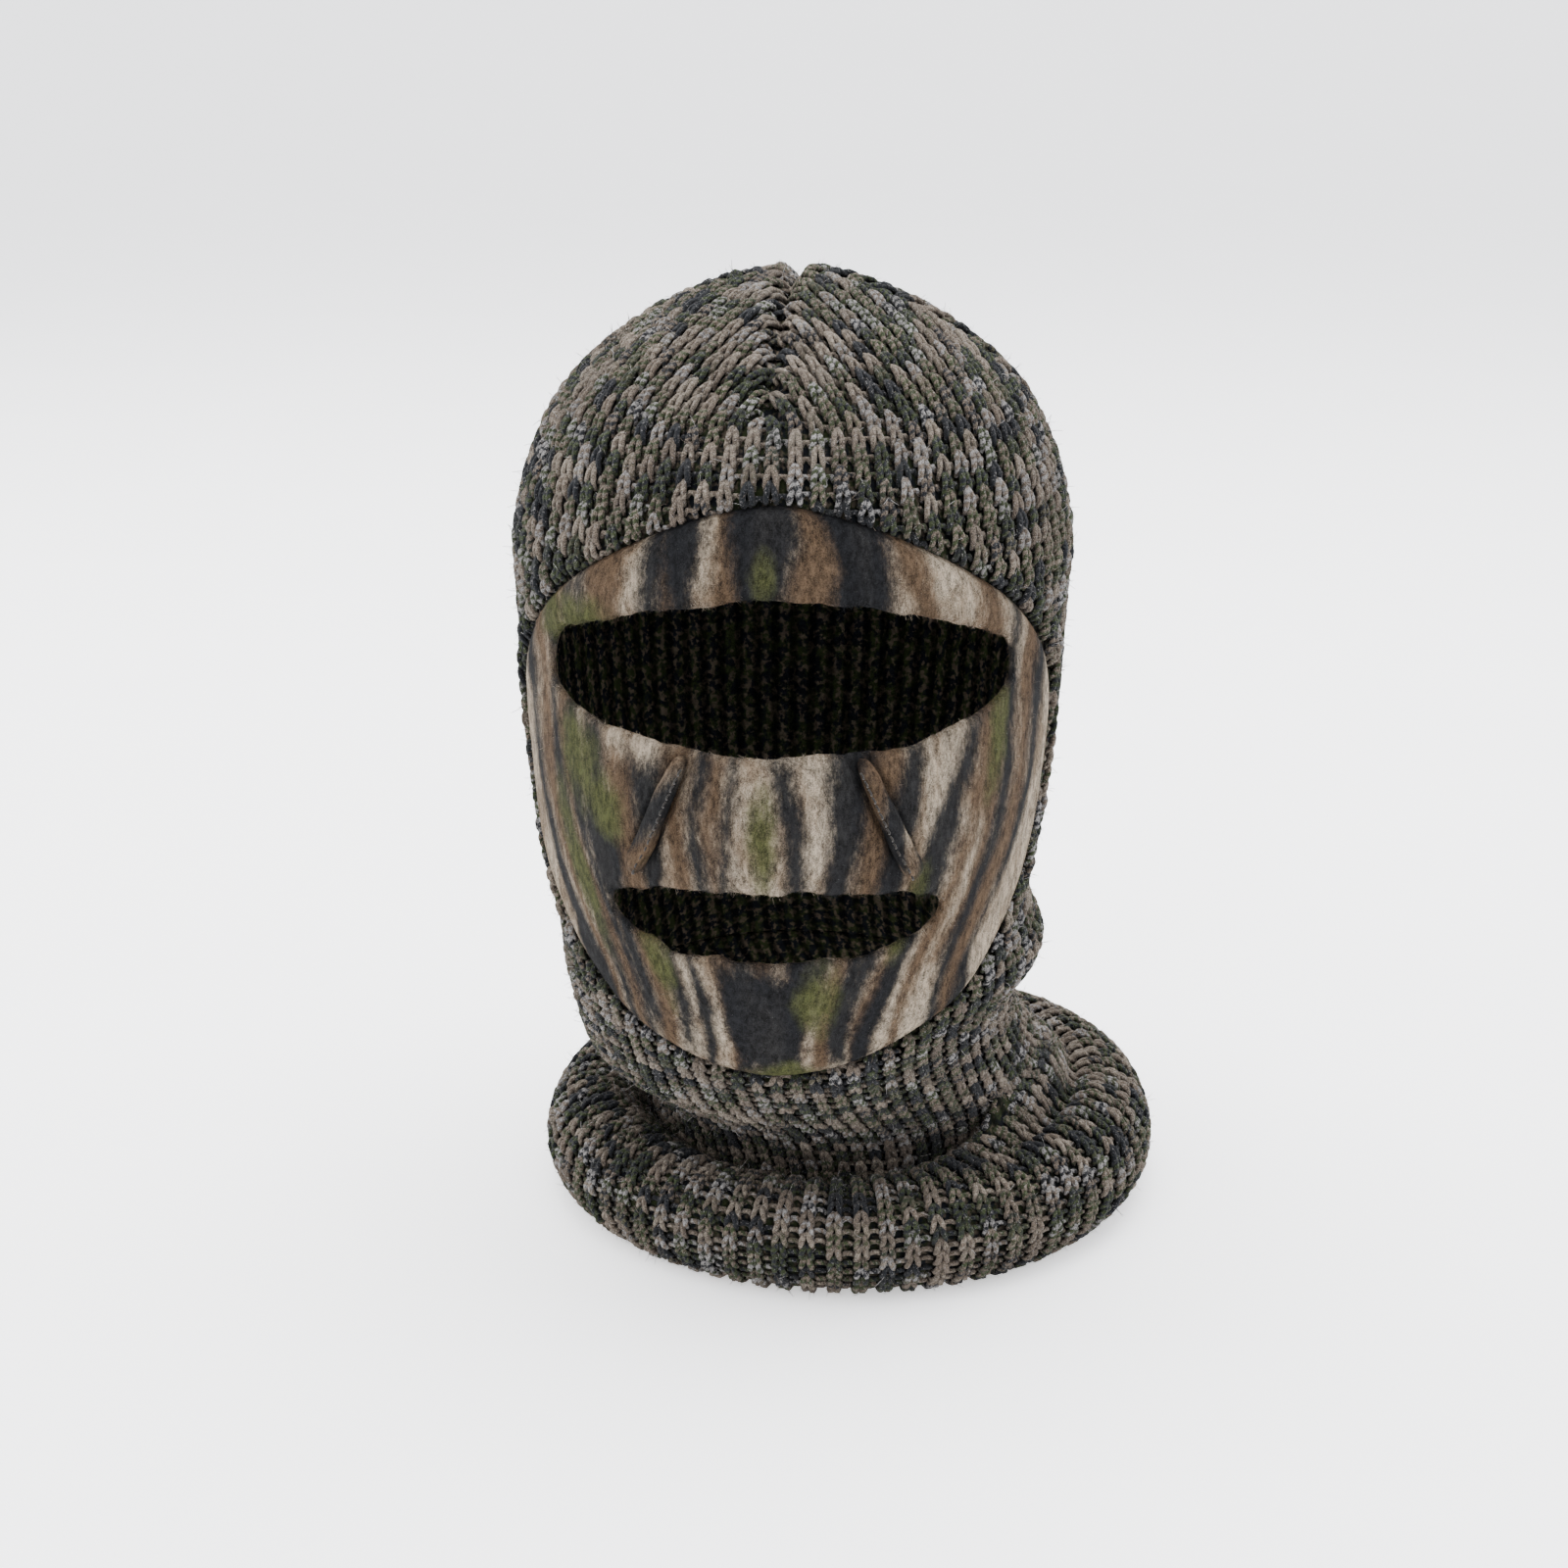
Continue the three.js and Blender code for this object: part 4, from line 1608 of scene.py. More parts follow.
@dataclass
class BarkPrint:
    """The fleece's printed pattern: upright streaks of bark with soft sides, and patches of moss."""

    streaks: tuple[Streak, ...] = (
        Streak(-108, 6, Tone.CHARCOAL), Streak(-97, 4.4, Tone.BARK), Streak(-88, 3.4, Tone.CHARCOAL),
        Streak(-76, 3.4, Tone.CHARCOAL), Streak(-82, 3.4, Tone.BARK), Streak(-59, 9, Tone.BARK, 270, 190),
        Streak(-70, 3.5, Tone.CHARCOAL, 270, 200), Streak(-45, 3.6, Tone.CHARCOAL, 270, 194, 0.1),
        Streak(-36, 4, Tone.BARK, 270, 200, 0.05), Streak(-27, 4.6, Tone.CHARCOAL, 270, 192, -0.05),
        Streak(-14, 7, Tone.BARK, 270, 190), Streak(-1, 8, Tone.CHARCOAL, 270, 190, -0.05),
        Streak(15, 8.6, Tone.BARK, 270, 192), Streak(29, 6.6, Tone.CHARCOAL, 270, 190),
        Streak(41, 4, Tone.BARK, 270, 196, -0.1), Streak(61, 7.4, Tone.CHARCOAL, 266, 186, -0.5),
        Streak(72, 4, Tone.BARK, 262, 190, -0.4), Streak(81, 3.4, Tone.BARK, 240, 120, -0.15),
        Streak(88, 3.2, Tone.CHARCOAL, 230, 60, -0.05), Streak(98, 4, Tone.BARK),
        Streak(106, 3, Tone.CHARCOAL),
        Streak(-66, 4.6, Tone.CHARCOAL, 186, 90, 0.1), Streak(-54, 4.8, Tone.BARK, 178, 60, 0.12),
        Streak(-43, 4, Tone.CHARCOAL, 178, 84, 0.12), Streak(-31, 5, Tone.BARK, 184, 126),
        Streak(-23, 3, Tone.CHARCOAL, 190, 132), Streak(-13, 1.8, Tone.CHARCOAL, 184, 140, 0.1),
        Streak(-18, 2.6, Tone.BARK, 176, 138), Streak(7, 3, Tone.CHARCOAL, 186, 136, -0.08),
        Streak(25, 4.2, Tone.CHARCOAL, 188, 134, 0.1), Streak(35, 4.6, Tone.BARK, 186, 126),
        Streak(45, 4.2, Tone.CHARCOAL, 182, 84, 0.12), Streak(57, 3.6, Tone.BARK, 150, 70, 0.1),
        Streak(66, 4, Tone.CHARCOAL, 186, 74, 0.2), Streak(75, 2.4, Tone.BARK, 176, 80, 0.1),
        Streak(-33, 4.4, Tone.CHARCOAL, 122, 60, 0.1), Streak(-22, 4, Tone.BARK, 124, 70),
        Streak(-6, 15, Tone.CHARCOAL, 118, 74), Streak(-4, 5, Tone.BARK, 126, 106),
        Streak(11, 6, Tone.BARK, 126, 84),
        Streak(29, 9, Tone.CHARCOAL, 128, 78, 0.25), Streak(42, 5, Tone.BARK, 122, 76, 0.2),
        Streak(53, 4, Tone.CHARCOAL, 130, 80, 0.2),
    )
    moss: tuple[Moss, ...] = (
        Moss(-72, 207, 20, 9), Moss(-58, 198, 20, 5), Moss(-74, 170, 11, 14), Moss(-62, 160, 9, 11),
        Moss(-88, 136, 7, 24), Moss(-2, 156, 4.5, 15), Moss(-3, 228, 5, 8), Moss(22, 104, 11, 13),
        Moss(8, 76, 26, 5), Moss(56, 128, 6, 14), Moss(-56, 112, 7, 13), Moss(82, 176, 5, 18),
    )

    def fields(self, across: Array, height: Array) -> Array:
        """How near places lie to the streaks: 0 is well outside, 0.5 on a streak's side and 1 well inside.

        Args:
            across: distance round the form from the face's middle, in metres.
            height: height above the table, in metres.

        Returns:
            The charcoal, bark and moss fields at each place.
        """
        x, z = across / MM, height / MM
        ragged, cloudy, fine = LatticeNoise(31), LatticeNoise(32), LatticeNoise(33)
        x = x / (1 - 0.36 * smooth(-165, -72, -z))
        shift = 5.0 * ragged.layers(stack(x / 20, z / 30, 1.7)) + 1.5 * fine.layers(stack(x / 5, z / 11, 4.4))
        found = np.zeros((*np.shape(x), 3))
        for number, streak in enumerate(self.streaks):
            middle = streak.across + streak.lean * (z - 160)
            swing = 1.05 + 0.95 * cloudy.layers(stack(z / 24, number * 2.7, 5.1), 2)
            inside = streak.width * swing - np.abs(x + shift - middle)
            ends = np.minimum(z + 2 * shift - streak.bottom, streak.top - z - 2 * shift) * 0.5
            share = np.clip(0.5 + np.minimum(inside, ends) / 10, 0, 1)
            found[..., streak.tone.value] = np.maximum(found[..., streak.tone.value], share)
        patchy = fine.layers(stack(x / 7, z / 8, 9.2))
        for each in self.moss:
            reach = ((x - each.across) / each.wide) ** 2 + ((z - each.height) / each.tall) ** 2
            share = np.clip(0.5 + (1 - reach - 0.8 * patchy) * 0.55, 0, 1)
            found[..., Tone.MOSS.value] = np.maximum(found[..., Tone.MOSS.value], share)
        return found


@dataclass
class DartLine:
    """The line down a nose dart, on the wearer's left: where it starts and how it leans outward."""

    top: float
    arc: float
    turn: float = 17.5
    lean: float = 12.5
    length: float = 35 * MM

    def across(self, share: Array) -> Array:
        """How far the line lies from the face's middle, at a share of its length."""
        return (self.turn + self.lean * share) * self.arc

    def height(self, share: Array) -> Array:
        """The line's height, at a share of its length."""
        return self.top - self.length * share

    def share_at(self, height: Array) -> Array:
        """The share of its length at which the line is at a height."""
        return np.clip((self.top - height) / self.length, 0, 1)


@dataclass
class FacePanel:
    """The fleece panel with its two raw-edged openings."""

    form: HeadForm
    face: Outline
    eye: Outline
    mouth: Outline
    grain: float = 1.2 * MM
    thickness: float = 2.3 * MM
    sunk: float = 1.2 * MM
    dented: float = 2.3 * MM
    turned_out: float = 2.6 * MM
    wavy: float = 2.1 * MM
    edge_round: float = 0.35 * MM
    edge_swell: float = 0.45 * MM

    def __post_init__(self) -> None:
        """Place the line of the nose darts below the eye opening."""
        self.dart_line = DartLine(self.eye.middle - self.eye.drop - 1.5 * MM, self.face.arc)

    def openings(self) -> list[Array]:
        """The outlines of the eye and mouth openings, cut by hand and so slightly wavy.

        Returns:
            The two loops of places on the form.
        """
        found = []
        for number, outline in enumerate((self.eye, self.mouth)):
            line = outline.spaced(1.1 * MM)
            share = np.arange(len(line)) / len(line) * 2 * np.pi
            places = stack(np.cos(share) * 4.5 + 8, np.sin(share) * 4.5 + 8, 2.2)
            ripple = LatticeNoise(41 + number).layers(places, 4)
            out = unit(np.roll(line, 1, 0) - np.roll(line, -1, 0))[:, ::-1] * [-1, 1]
            sign = np.sign(((line - line.mean(axis=0)) * out).sum())
            found.append(line + out * sign * ripple[:, None] * self.wavy)
        return found

    def lift(self, across: Array, height: Array) -> Array:
        """How far the fleece stands from its plain lie: gentle drape, lifted raw edges and a tucked rim.

        Args:
            across: distance round the form from the face's middle.
            height: height above the table.

        Returns:
            The distances out.
        """
        drape = LatticeNoise(51).layers(stack(across / (30 * MM), height / (42 * MM), 1.4), 2) * 0.9 * MM
        nap = LatticeNoise(52).layers(stack(across / (2.6 * MM), height / (2.6 * MM), 0.6), 2) * 0.16 * MM
        distance, edge, _ = self.face.edge(across, height)
        tuck = -2.6 * MM * smooth(-1.6 * MM, 1.6 * MM, distance - edge)
        roll = 0.7 * MM * hump(distance - edge, -5 * MM, 3.5 * MM)
        along = smooth(146 * MM, 152 * MM, height) * (1 - smooth(181 * MM, 187 * MM, height))
        line = self.dart_line.across(self.dart_line.share_at(height))
        crease = np.zeros(np.shape(across))
        for side in (-1, 1):
            crease += along * (-self.dented * np.exp(-(((across - side * line) / (5.0 * MM)) ** 6)))
        return drape + nap + tuck + roll + crease

    def build(self) -> bpy.types.Object:
        """Make the panel.

        Returns:
            The new piece.
        """
        rim = self.face.spaced(1.6 * MM)
        rim = rim + unit(rim - [0, self.face.middle]) * self.turned_out
        loops = [rim, *self.openings()]
        flat = np.concatenate([*loops, self.inner_points(loops)])
        edges, start = [], 0
        for loop in loops:
            edges += [(start + i, start + (i + 1) % len(loop)) for i in range(len(loop))]
            start += len(loop)
        points, _, faces, *_ = delaunay_2d_cdt([Vector(p / MM) for p in flat], edges, [], 0, 1e-5)
        flat = np.array([tuple(p) for p in points]) * MM
        faces = np.array([f[:3] for f in faces])
        return self.thicken(flat, faces[self.on_cloth(flat[faces].mean(axis=1), loops)])

    def inner_points(self, loops: list[Array]) -> Array:
        """An even grid of points on the cloth, clear of its edges.

        Args:
            loops: the rim and the openings.

        Returns:
            The points, shape (n, 2).
        """
        low, high = loops[0].min(axis=0), loops[0].max(axis=0)
        rows = np.arange(low[1], high[1], self.grain * 0.87)
        grid_x, grid_z = np.meshgrid(np.arange(low[0], high[0], self.grain), rows, indexing="xy")
        grid_x[1::2] += self.grain / 2
        points = stack(grid_x.ravel(), grid_z.ravel())
        keep = self.on_cloth(points, loops)
        for loop in loops:
            keep &= self.clear_of(points, loop, self.grain * 0.6)
        return points[keep]

    def on_cloth(self, points: Array, loops: list[Array]) -> Array:
        """Whether points lie inside the first loop, the rim, and outside the others, the openings."""
        rim, *holes = (self.inside(points, loop) for loop in loops)
        return rim & ~np.any(holes, axis=0)

    @staticmethod
    def inside(points: Array, loop: Array) -> Array:
        """Whether points lie inside a closed loop.

        Args:
            points: the points, shape (n, 2).
            loop: the loop's corners.

        Returns:
            True for each point inside.
        """
        found = np.zeros(len(points), bool)
        for (x0, y0), (x1, y1) in zip(loop, np.roll(loop, -1, axis=0)):
            if y0 == y1:
                continue
            level = (points[:, 1] < y0) != (points[:, 1] < y1)
            found ^= level & (points[:, 0] < x0 + (points[:, 1] - y0) * (x1 - x0) / (y1 - y0))
        return found

    @staticmethod
    def clear_of(points: Array, loop: Array, gap: float) -> Array:
        """Whether points keep a gap from a loop.

        Args:
            points: the points, shape (n, 2).
            loop: the loop's corners.
            gap: the least distance.

        Returns:
            True for each point that is clear.
        """
        nearest = np.full(len(points), np.inf)
        for corner in loop:
            nearest = np.minimum(nearest, np.hypot(*(points - corner).T))
        return nearest > gap

    def thicken(self, flat: Array, faces: Array) -> bpy.types.Object:
        """Give the flat cut its place on the form, its thickness and its round raw edges.

        Args:
            flat: the cut's points: distance round the form, and height.
            faces: its triangles.

        Returns:
            The new piece.
        """
        across, height = flat[:, 0], flat[:, 1]
        face_on = np.cross(flat[faces[:, 1]] - flat[faces[:, 0]], flat[faces[:, 2]] - flat[faces[:, 0]]) > 0
        faces = np.where(face_on[:, None], faces, faces[:, ::-1])
        border, total = open_edges(faces), len(flat)
        fields = BarkPrint().fields(across, height)
        walls = [wall_faces(border, near, near + total) for near in (0, total)]
        batches = [faces, faces[:, ::-1] + 2 * total, *walls]
        low, size = flat.min(axis=0), np.ptp(flat, axis=0)
        places = np.tile((flat - low) / size * [0.45, 1], (3, 1))
        maps = [
            sheet_map(places, batches[0], (0.01, 0.02), (1.5, 0.92)),
            sheet_map(places, batches[1], (0.72, 0.02), (0.6, 0.92)),
            edge_map(len(border), 0.955, 0.965), edge_map(len(border), 0.975, 0.985),
        ]
        parts = MeshParts()
        prints = np.concatenate([fields, fields, fields * 0.7])
        parts.add(self.layers(flat, border), batches, {"print": prints}, {"OFBake": maps})
        made = parts.piece("fleece_panel", FleeceFinish().build())
        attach(made, Body.HOOD.value)
        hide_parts("face_panel")
        darts = NoseDarts(self).build()
        fuzz = self.fuzz(flat, np.unique(border))
        return made

    def layers(self, flat: Array, border: Array) -> Array:
        """The cloth's three layers of points: its face, its middle and its back.

        Args:
            flat: the cut's points: distance round the form, and height.
            border: the edges along the rim and the openings, where the middle layer is pushed out.

        Returns:
            The layers' points, one layer after the other.
        """
        across, height = flat[:, 0], flat[:, 1]
        turn, rise = across / self.face.arc, self.form.rise_at(height)
        lift = self.lift(across, height) - self.sunk
        push = np.zeros(flat.shape)
        way = flat[border[:, 1]] - flat[border[:, 0]]
        for side in (0, 1):
            np.add.at(push, border[:, side], unit(stack(way[:, 1], -way[:, 0])))
        swollen = flat + unit(push) * self.edge_swell
        rounded = np.zeros(len(flat))
        rounded[np.unique(border)] = self.edge_round
        front = self.form.point(turn, rise, lift - rounded)
        back = self.form.point(turn, rise, lift - self.thickness + rounded)
        turn, rise = swollen[:, 0] / self.face.arc, self.form.rise_at(swollen[:, 1])
        return np.concatenate([front, self.form.point(turn, rise, lift - self.thickness / 2), back])

    def fuzz(self, flat: Array, bordering: Array) -> bpy.types.Object:
        """The nap's loose fibres, thickest along the raw edges.

        Args:
            flat: the cut's points.
            bordering: which of them lie on an edge.

        Returns:
            The new piece.
        """
        random = np.random.default_rng(71)
        picked = np.concatenate([random.choice(bordering, 2600), random.integers(0, len(flat), 5200)])
        across, height = (flat[picked] + random.normal(0, 0.3 * MM, (len(picked), 2))).T
        distance, edge, _ = self.face.edge(across, height)
        within = distance < edge - 1 * MM
        across, height = across[within], height[within]
        turn, rise = across / self.face.arc, self.form.rise_at(height)
        roots = self.form.point(turn, rise, self.lift(across, height) - self.sunk - 0.5 * MM)
        charcoal, bark, moss = np.moveaxis(BarkPrint().fields(across, height), -1, 0)
        tones = np.tile(PALETTE.tan, (len(across), 1))
        for share, tone in ((bark, PALETTE.bark), (charcoal, PALETTE.charcoal), (moss, PALETTE.moss)):
            tones = tones + (np.array(tone) * 1.3 - tones) * smooth(0.35, 0.7, share)[:, None]
        outward, material = self.form.outward(turn, rise), YarnFinish(name="fleece_fibres").build()
        fibres = Fuzz(72, longest=2.0 * MM, thickness=0.06 * MM)
        made = fibres.build("fleece_fuzz", roots, outward, tones, material)
        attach(made, Body.HOOD.value)
        return made


@dataclass
class NoseDarts:
    """The two sewn tucks beside the nose: folds of the fleece, each with a line of stitches."""

    panel: FacePanel
    width: float = 7.4 * MM
    proud: float = 3.5 * MM
    buried: float = 3.2 * MM
    stitch: float = 2.4 * MM
    taken_up: float = 5 * MM

    def place(self, side: int, share: Array, beside: Array, out: Array) -> Array:
        """Find places on a dart.

        Args:
            side: 1 for the wearer's left and -1 for the right.
            share: how far down the dart's line, from 0 to 1.
            beside: distance to one side of the line.
            out: distance out from the panel's face.

        Returns:
            The points.
        """
        line, form, arc = self.panel.dart_line, self.panel.form, self.panel.face.arc
        way = unit(stack(side * line.lean * arc, -line.length))
        across = side * line.across(share) - beside * way[..., 1] * side
        height = line.height(share) + beside * way[..., 0] * side
        lift = self.panel.lift(across, height) - self.panel.sunk + 2.0 * MM + out
        return form.point(across / arc, form.rise_at(height), lift)

    def build(self) -> list[bpy.types.Object]:
        """Make both darts and their stitching.

        Returns:
            The folds and their stitches.
        """
        fleece, thread = FleeceFinish(name="dart_fleece").build(), ThreadFinish().build()
        made = []
        for side, word in zip((1, -1), SIDES):
            fold = self.fold(side, f"dart_fold_{word}", fleece)
            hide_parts(f"nose_dart_{word}")
            sewn = self.stitches(side, f"dart_stitches_{word}", thread)
            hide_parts(f"nose_dart_thread_{word}")
            made += [fold, sewn]
        for piece in made:
            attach(piece, Body.HOOD.value)
        return made

    def fold(self, side: int, name: str, material: bpy.types.Material) -> bpy.types.Object:
        """One fold: flat-topped, with a rounded lower end, its print shifted where the cloth is taken up.

        Args:
            side: 1 for the wearer's left and -1 for the right.
            name: the piece's name.
            material: its finish.

        Returns:
            The new piece.
        """
        rows, around = 44, 22
        angles = np.linspace(0, 2 * np.pi, around, endpoint=False)
        share, angle = np.meshgrid(np.linspace(0, 1, rows), angles, indexing="ij")
        body = np.clip(1 - np.abs(2 * share - 1) ** 9, 0, 1) ** 0.5 * (0.66 + 0.34 * share) + 0.02
        uneven = LatticeNoise(61 + side).layers(stack(share * 6, np.cos(angle), np.sin(angle)), 2)
        beside = self.width / 2 * np.sign(np.cos(angle)) * np.abs(np.cos(angle)) ** 0.8
        beside = beside * body * (1 + 0.09 * uneven)
        high = self.proud * np.abs(np.sin(angle)) ** 0.4 * body * (1 + 0.12 * uneven)
        high = high * (1 - 0.3 * np.cos(angle))
        out = np.where(np.sin(angle) > 0, high, -self.buried * np.abs(np.sin(angle)))
        points = self.place(side, share, beside, out).reshape(-1, 3)
        quads = ring_faces(rows, around)
        number = (quads[..., 0] * around + quads[..., 1] % around)[:, ::side]
        ends = np.stack([np.arange(around)[::-1], (rows - 1) * around + np.arange(around)])[:, ::side]
        line = self.panel.dart_line
        across = side * line.across(share) + beside + self.taken_up * side
        prints = BarkPrint().fields(across, line.height(share)).reshape(-1, 3)
        spread = stack(quads[..., 0] / rows, quads[..., 1] / around)[:, ::side] * 0.9 + 0.02
        caps = np.stack([ring_map(around, (middle, 0.97), 0.02) for middle in (0.2, 0.5)])
        parts = MeshParts()
        parts.add(points, [number, ends], {"print": prints}, {"OFBake": [spread, caps]})
        return parts.piece(name, material)

    def stitches(self, side: int, name: str, material: bpy.types.Material) -> bpy.types.Object:
        """The run of stitches along a fold's sewn side.

        Args:
            side: 1 for the wearer's left and -1 for the right.
            name: the piece's name.
            material: its finish.

        Returns:
            The new piece.
        """
        count = int(self.panel.dart_line.length / self.stitch)
        start = (np.arange(count) + 0.2) / count * 0.92 + 0.03
        share = start[:, None] + np.linspace(0, 0.72, 5)[None] / count * 0.92
        dip = np.array([-0.5, 0.16, 0.3, 0.16, -0.5])[None] * MM
        beside = np.full(share.shape, -self.width * 0.36)
        lines = self.place(side, share, beside, self.proud * 0.98 + np.broadcast_to(dip, share.shape))
        outward = self.panel.form.outward(np.full(share.shape, side * 24.0), np.full(share.shape, 0.45))
        tone = np.tile(PALETTE.thread, (count, 1))
        parts = MeshParts()
        Tubes(6).add_to(parts, lines, outward, np.full(share.shape, 0.27 * MM), (tone, tone), (0, 8))
        return parts.piece(name, material)


@dataclass
class OverlockSeams:
    """The overlocked seams inside the hood: a ridge of cut edges whipped over with thread."""

    form: HeadForm
    face: Outline
    ridge: float = 1.5 * MM
    pitch: float = 1.7 * MM
    depth: float = -6.1 * MM

    def build(self) -> list[bpy.types.Object]:
        """Make the seam round the face and the four crown seams.

        Returns:
            The seams.
        """
        material = ThreadFinish(name="overlock_thread", tone=PALETTE.dusk).build()
        rim = self.face.spaced(1.5 * MM)
        rim = np.vstack([rim, rim[:2]])
        rim = rim + unit(rim - [0, self.face.middle]) * 1.5 * MM
        across, height = rim.T
        made = [self.seam("face_seam_overlock", across / self.face.arc, self.form.rise_at(height), material)]
        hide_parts("face_seam")
        for index, word in enumerate(("front", "left", "back", "right")):
            heights = np.linspace(self.form.on_head(0.84), self.form.on_head(0.985), 40)
            turn = np.full(heights.shape, self.form.dart_turn + 90 * index)
            piece = self.seam(f"crown_seam_overlock_{word}", turn, self.form.rise_at(heights), material)
            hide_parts(f"crown_seam_{word}")
            made.append(piece)
        for piece in made:
            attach(piece, Body.HOOD.value)
        return made

    def seam(self, name: str, turn: Array, rise: Array, material: bpy.types.Material) -> bpy.types.Object:
        """One seam along a line on the form.

        Args:
            name: the piece's name.
            turn: the line's turns.
            rise: the line's rises.
            material: its finish.

        Returns:
            The new piece.
        """
        middle = self.form.point(turn, rise, self.depth, crease=0.6)
        inward = -self.form.outward(turn, rise)
        along = run_length(middle)
        count = int(along[-1] / self.pitch)
        per_row = math.ceil(math.sqrt(2 * count + 1))
        tone, radii = np.array([PALETTE.dusk]), np.full((1, len(middle)), self.ridge)
        parts = MeshParts()
        Tubes(8).add_to(parts, middle[None], inward[None], radii, (tone, tone), (0, per_row))
        line = np.c_[middle, inward]
        for hand, first in ((1, 1), (-1, 1 + count)):
            place = (np.arange(count)[:, None] + 0.5 + hand * np.linspace(-0.45, 0.45, 7)[None]) * self.pitch
            there = np.stack([np.interp(place, along, line[:, i]) for i in range(6)], axis=-1)
            self.whip(parts, there[..., :3], unit(there[..., 3:]), (first, per_row))
        return parts.piece(name, material)

    def whip(self, parts: MeshParts, centre: Array, out: Array, cells: tuple[int, int]) -> None:
        """Add thread loops that wrap the ridge.

        Args:
            parts: the piece being gathered.
            centre: the ridge's middle beside each point of each loop, shape (loops, points, 3).
            out: the way out from the cloth there, the same shape.
            cells: the first cell that the loops take in the piece's map, and the cells in a row of it.
        """
        angle = np.radians(np.linspace(-78, 78, centre.shape[1]))
        beside = unit(np.cross(unit(np.gradient(centre, axis=1)), out))
        reach = self.ridge + 0.18 * MM
        lines = centre + reach * (beside * np.sin(angle)[:, None] + out * np.cos(angle)[:, None])
        tone = np.tile(PALETTE.sand, (len(centre), 1))
        Tubes(5).add_to(parts, lines, out, np.full(lines.shape[:2], 0.26 * MM), (tone, tone), cells)


@dataclass
class Fuzz:
    """Loose fibres that stand out of a soft surface."""

    seed: int
    longest: float = 3.8 * MM
    thickness: float = 0.085 * MM

    def build(self, name: str, roots: Array, outward: Array, tones: Array, material: bpy.types.Material
              ) -> bpy.types.Object:
        """Make the fibres.

        Args:
            name: the piece's name.
            roots: where the fibres start.
            outward: which way is out at each root.
            tones: each fibre's colour.
            material: the finish.

        Returns:
            The new piece.
        """
        random = np.random.default_rng(self.seed)
        count = len(roots)
        way = unit(outward * random.uniform(0.25, 0.9, (count, 1)) + random.normal(0, 0.6, (count, 3)))
        bend = unit(random.normal(0, 1, (count, 3)))
        length = self.longest * random.uniform(0.35, 1, (count, 1))
        middle = roots + way * length * 0.5 + bend * length * 0.14
        tip = roots + way * length * 0.86 + bend * length * 0.42
        lines = np.stack([roots, middle, tip], axis=1)
        lines[..., 2] = np.maximum(lines[..., 2], 0.2 * MM)
        radii = self.thickness * np.array([1, 0.9, 0.55]) * random.uniform(0.8, 1.2, (count, 1))
        parts = MeshParts()
        out, cells = np.repeat(outward[:, None], 3, axis=1), (0, math.ceil(math.sqrt(count)))
        Tubes(3).add_to(parts, lines, out, radii, (tones, tones * 1.2), cells)
        return parts.piece(name, material)


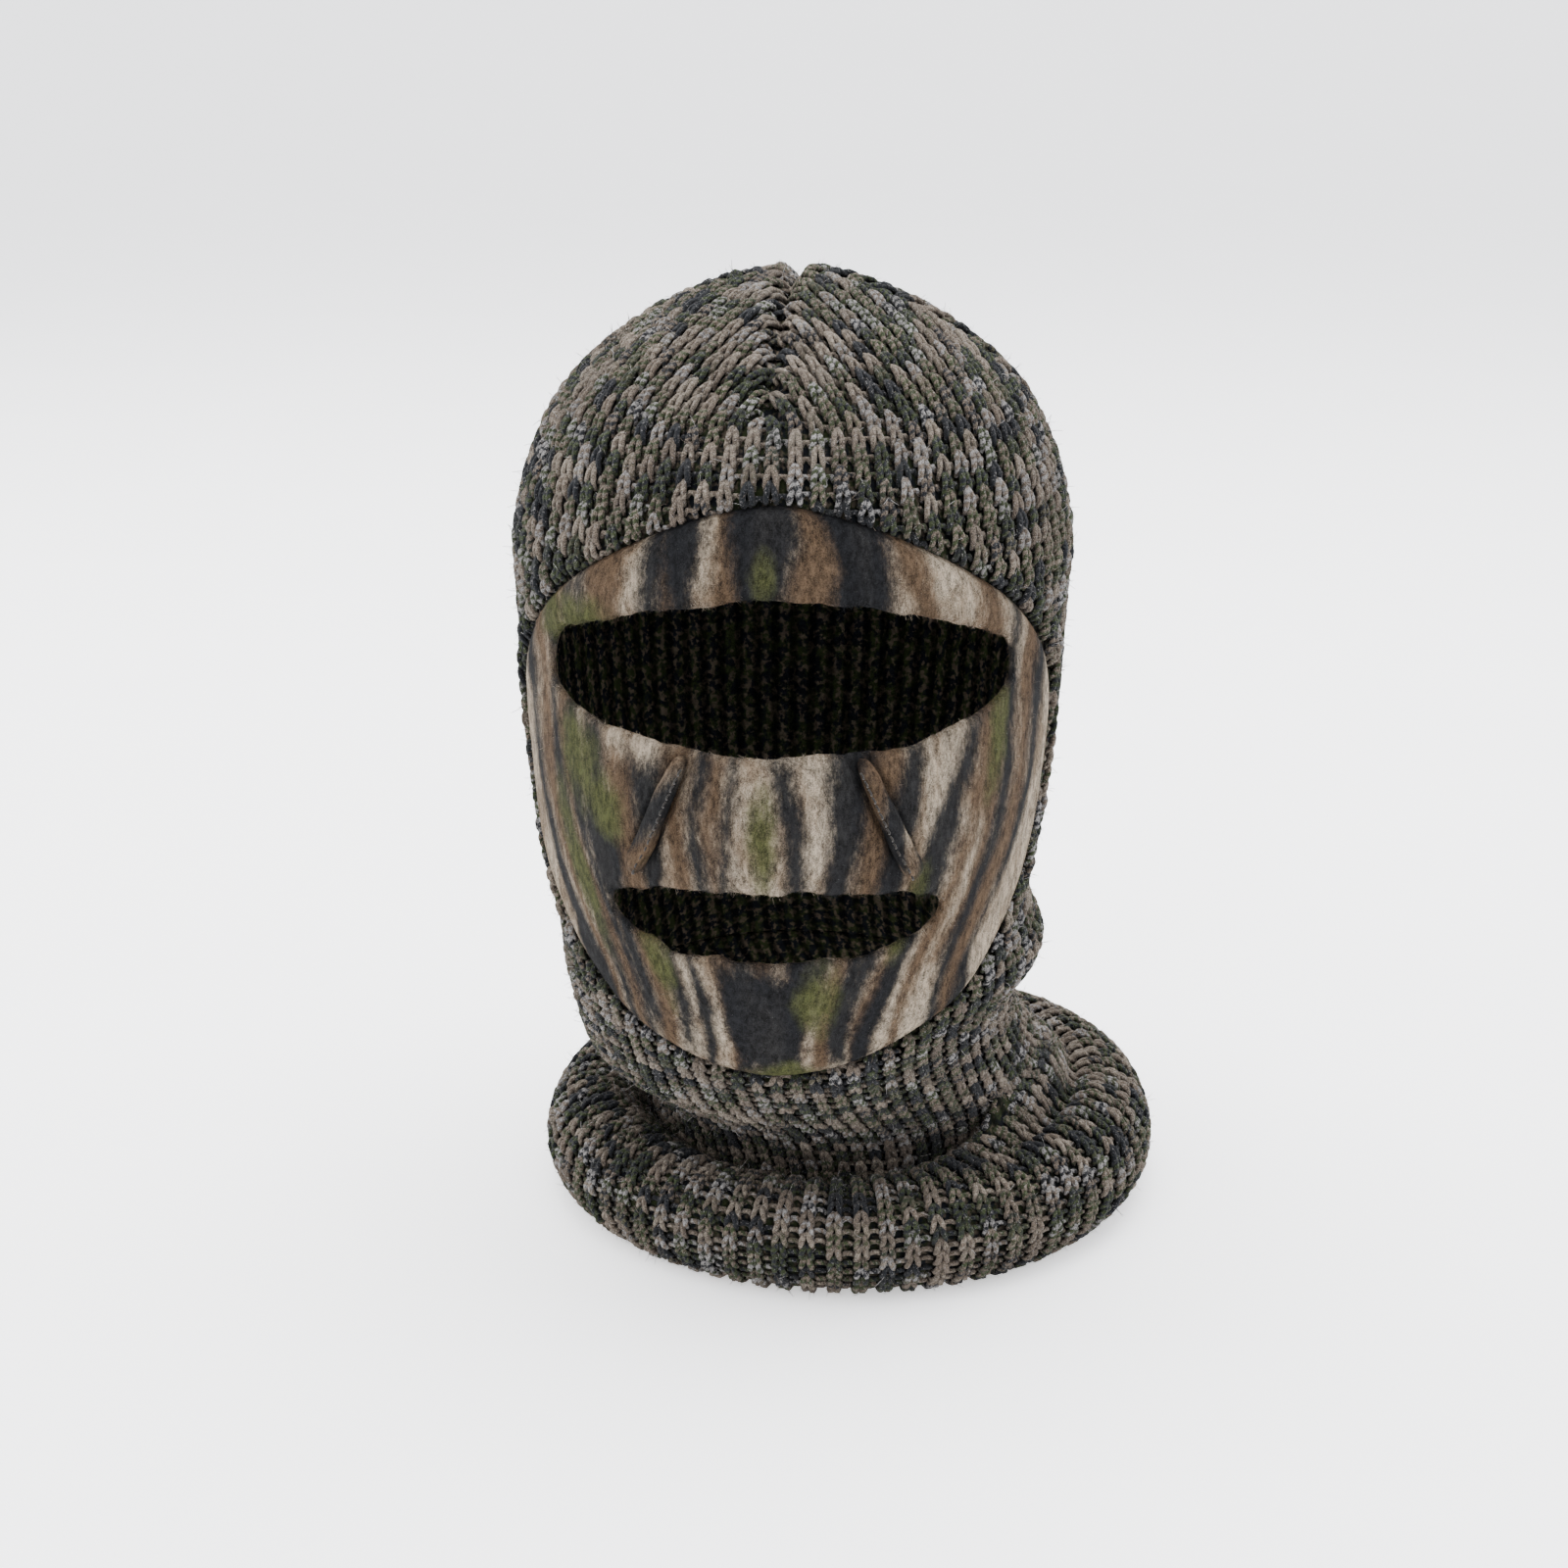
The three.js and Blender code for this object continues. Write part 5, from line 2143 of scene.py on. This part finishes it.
@dataclass
class Studio:
    """The floor, the lights and the camera."""

    form: HeadForm
    distance: float = 0.85
    pitch: float = 18.0
    azimuth: float = 3.5
    lens: float = 63.5
    look_height: float = 140 * MM

    def build(self) -> None:
        """Make the floor, the lights and the camera."""
        self.floor()
        self.lamp("key_light", (-0.45, -1.1, 1.4), 1.4, 15.0, (1.0, 0.99, 0.975))
        self.lamp("top_light", (0.05, 0.35, 1.6), 1.6, 64.0, (0.99, 0.99, 1.0))
        self.lamp("left_light", (-1.5, 0.45, 0.7), 1.2, 24.0, (1.0, 0.985, 0.975))
        self.lamp("right_light", (1.5, 0.35, 0.8), 1.2, 15.0, (0.98, 0.985, 1.0))
        world = bpy.data.worlds.new("studio_air")
        world.use_nodes = True
        world.node_tree.nodes["Background"].inputs["Color"].default_value = (0.93, 0.95, 1.0, 1)
        world.node_tree.nodes["Background"].inputs["Strength"].default_value = 1.95
        bpy.context.scene.world = world
        self.camera()

    def floor(self) -> None:
        """A wide pale floor that rises softly far behind the mask."""
        bend = np.linspace(0.1, math.pi / 2, 12)
        depth = np.concatenate([np.linspace(-3, 3, 25), 3 + np.sin(bend)])
        rise = np.concatenate([np.zeros(25), 1 - np.cos(bend)])
        y, x = np.meshgrid(depth, np.linspace(-4, 4, 17), indexing="ij")
        z = np.broadcast_to(rise[:, None], y.shape)
        number = np.arange(y.size).reshape(y.shape)
        faces = cell_corners(number)[:, :-1].reshape(-1, 4)
        parts = MeshParts()
        parts.add(stack(x, y, z).reshape(-1, 3), [faces], {}, {})
        parts.piece("floor", FloorFinish().build())

    def lamp(self, name: str, place: tuple[float, float, float], size: float, watts: float,
             tint: Colour) -> None:
        """A large soft lamp that faces the mask.

        Args:
            name: the lamp's name.
            place: where it stands.
            size: its width.
            watts: its power.
            tint: its colour.
        """
        data = bpy.data.lights.new(name, "AREA")
        data.energy, data.size, data.color = watts, size, tint
        made = bpy.data.objects.new(name, data)
        made.location = place
        aim = Vector((self.form.axis_x, self.form.axis_y, self.look_height)) - Vector(place)
        made.rotation_euler = aim.to_track_quat("-Z", "Y").to_euler()
        bpy.context.scene.collection.objects.link(made)

    def camera(self) -> None:
        """A camera in front of the mask and a little above it."""
        data = bpy.data.cameras.new("camera")
        data.lens, data.sensor_width = self.lens, 36
        made = bpy.data.objects.new("camera", data)
        pitch, side = math.radians(self.pitch), math.radians(self.azimuth)
        target = Vector((self.form.axis_x, self.form.axis_y, self.look_height))
        way = Vector((math.sin(side) * math.cos(pitch), -math.cos(side) * math.cos(pitch), math.sin(pitch)))
        made.location = target + way * self.distance
        made.rotation_euler = (-way).to_track_quat("-Z", "Y").to_euler()
        bpy.context.scene.collection.objects.link(made)
        bpy.context.scene.camera = made


def main() -> None:
    """Build the mask around its frame, in order, and report each part."""
    form = HeadForm()
    Studio(form).build()
    log.info("studio ready")
    face = Outline(form.on_head(0.365), 76, 0.41 * form.head_height, 0.365 * form.head_height, 1.6, 1.7)
    eye = Outline(form.on_head(0.53), 55, 30 * MM, 12 * MM, 1.6, 2.5)
    mouth = Outline(form.on_head(0.252), 39, 13 * MM, 13 * MM, 1.5, 2.6)
    FacePanel(form, face, eye, mouth).build()
    log.info("face panel made")
    OverlockSeams(form, face).build()
    log.info("seams made")
    Knitwear(form, face).build()
    log.info("knitwear made")
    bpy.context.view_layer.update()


if __name__ == "__main__":
    logging.basicConfig(level=logging.INFO)
    main()
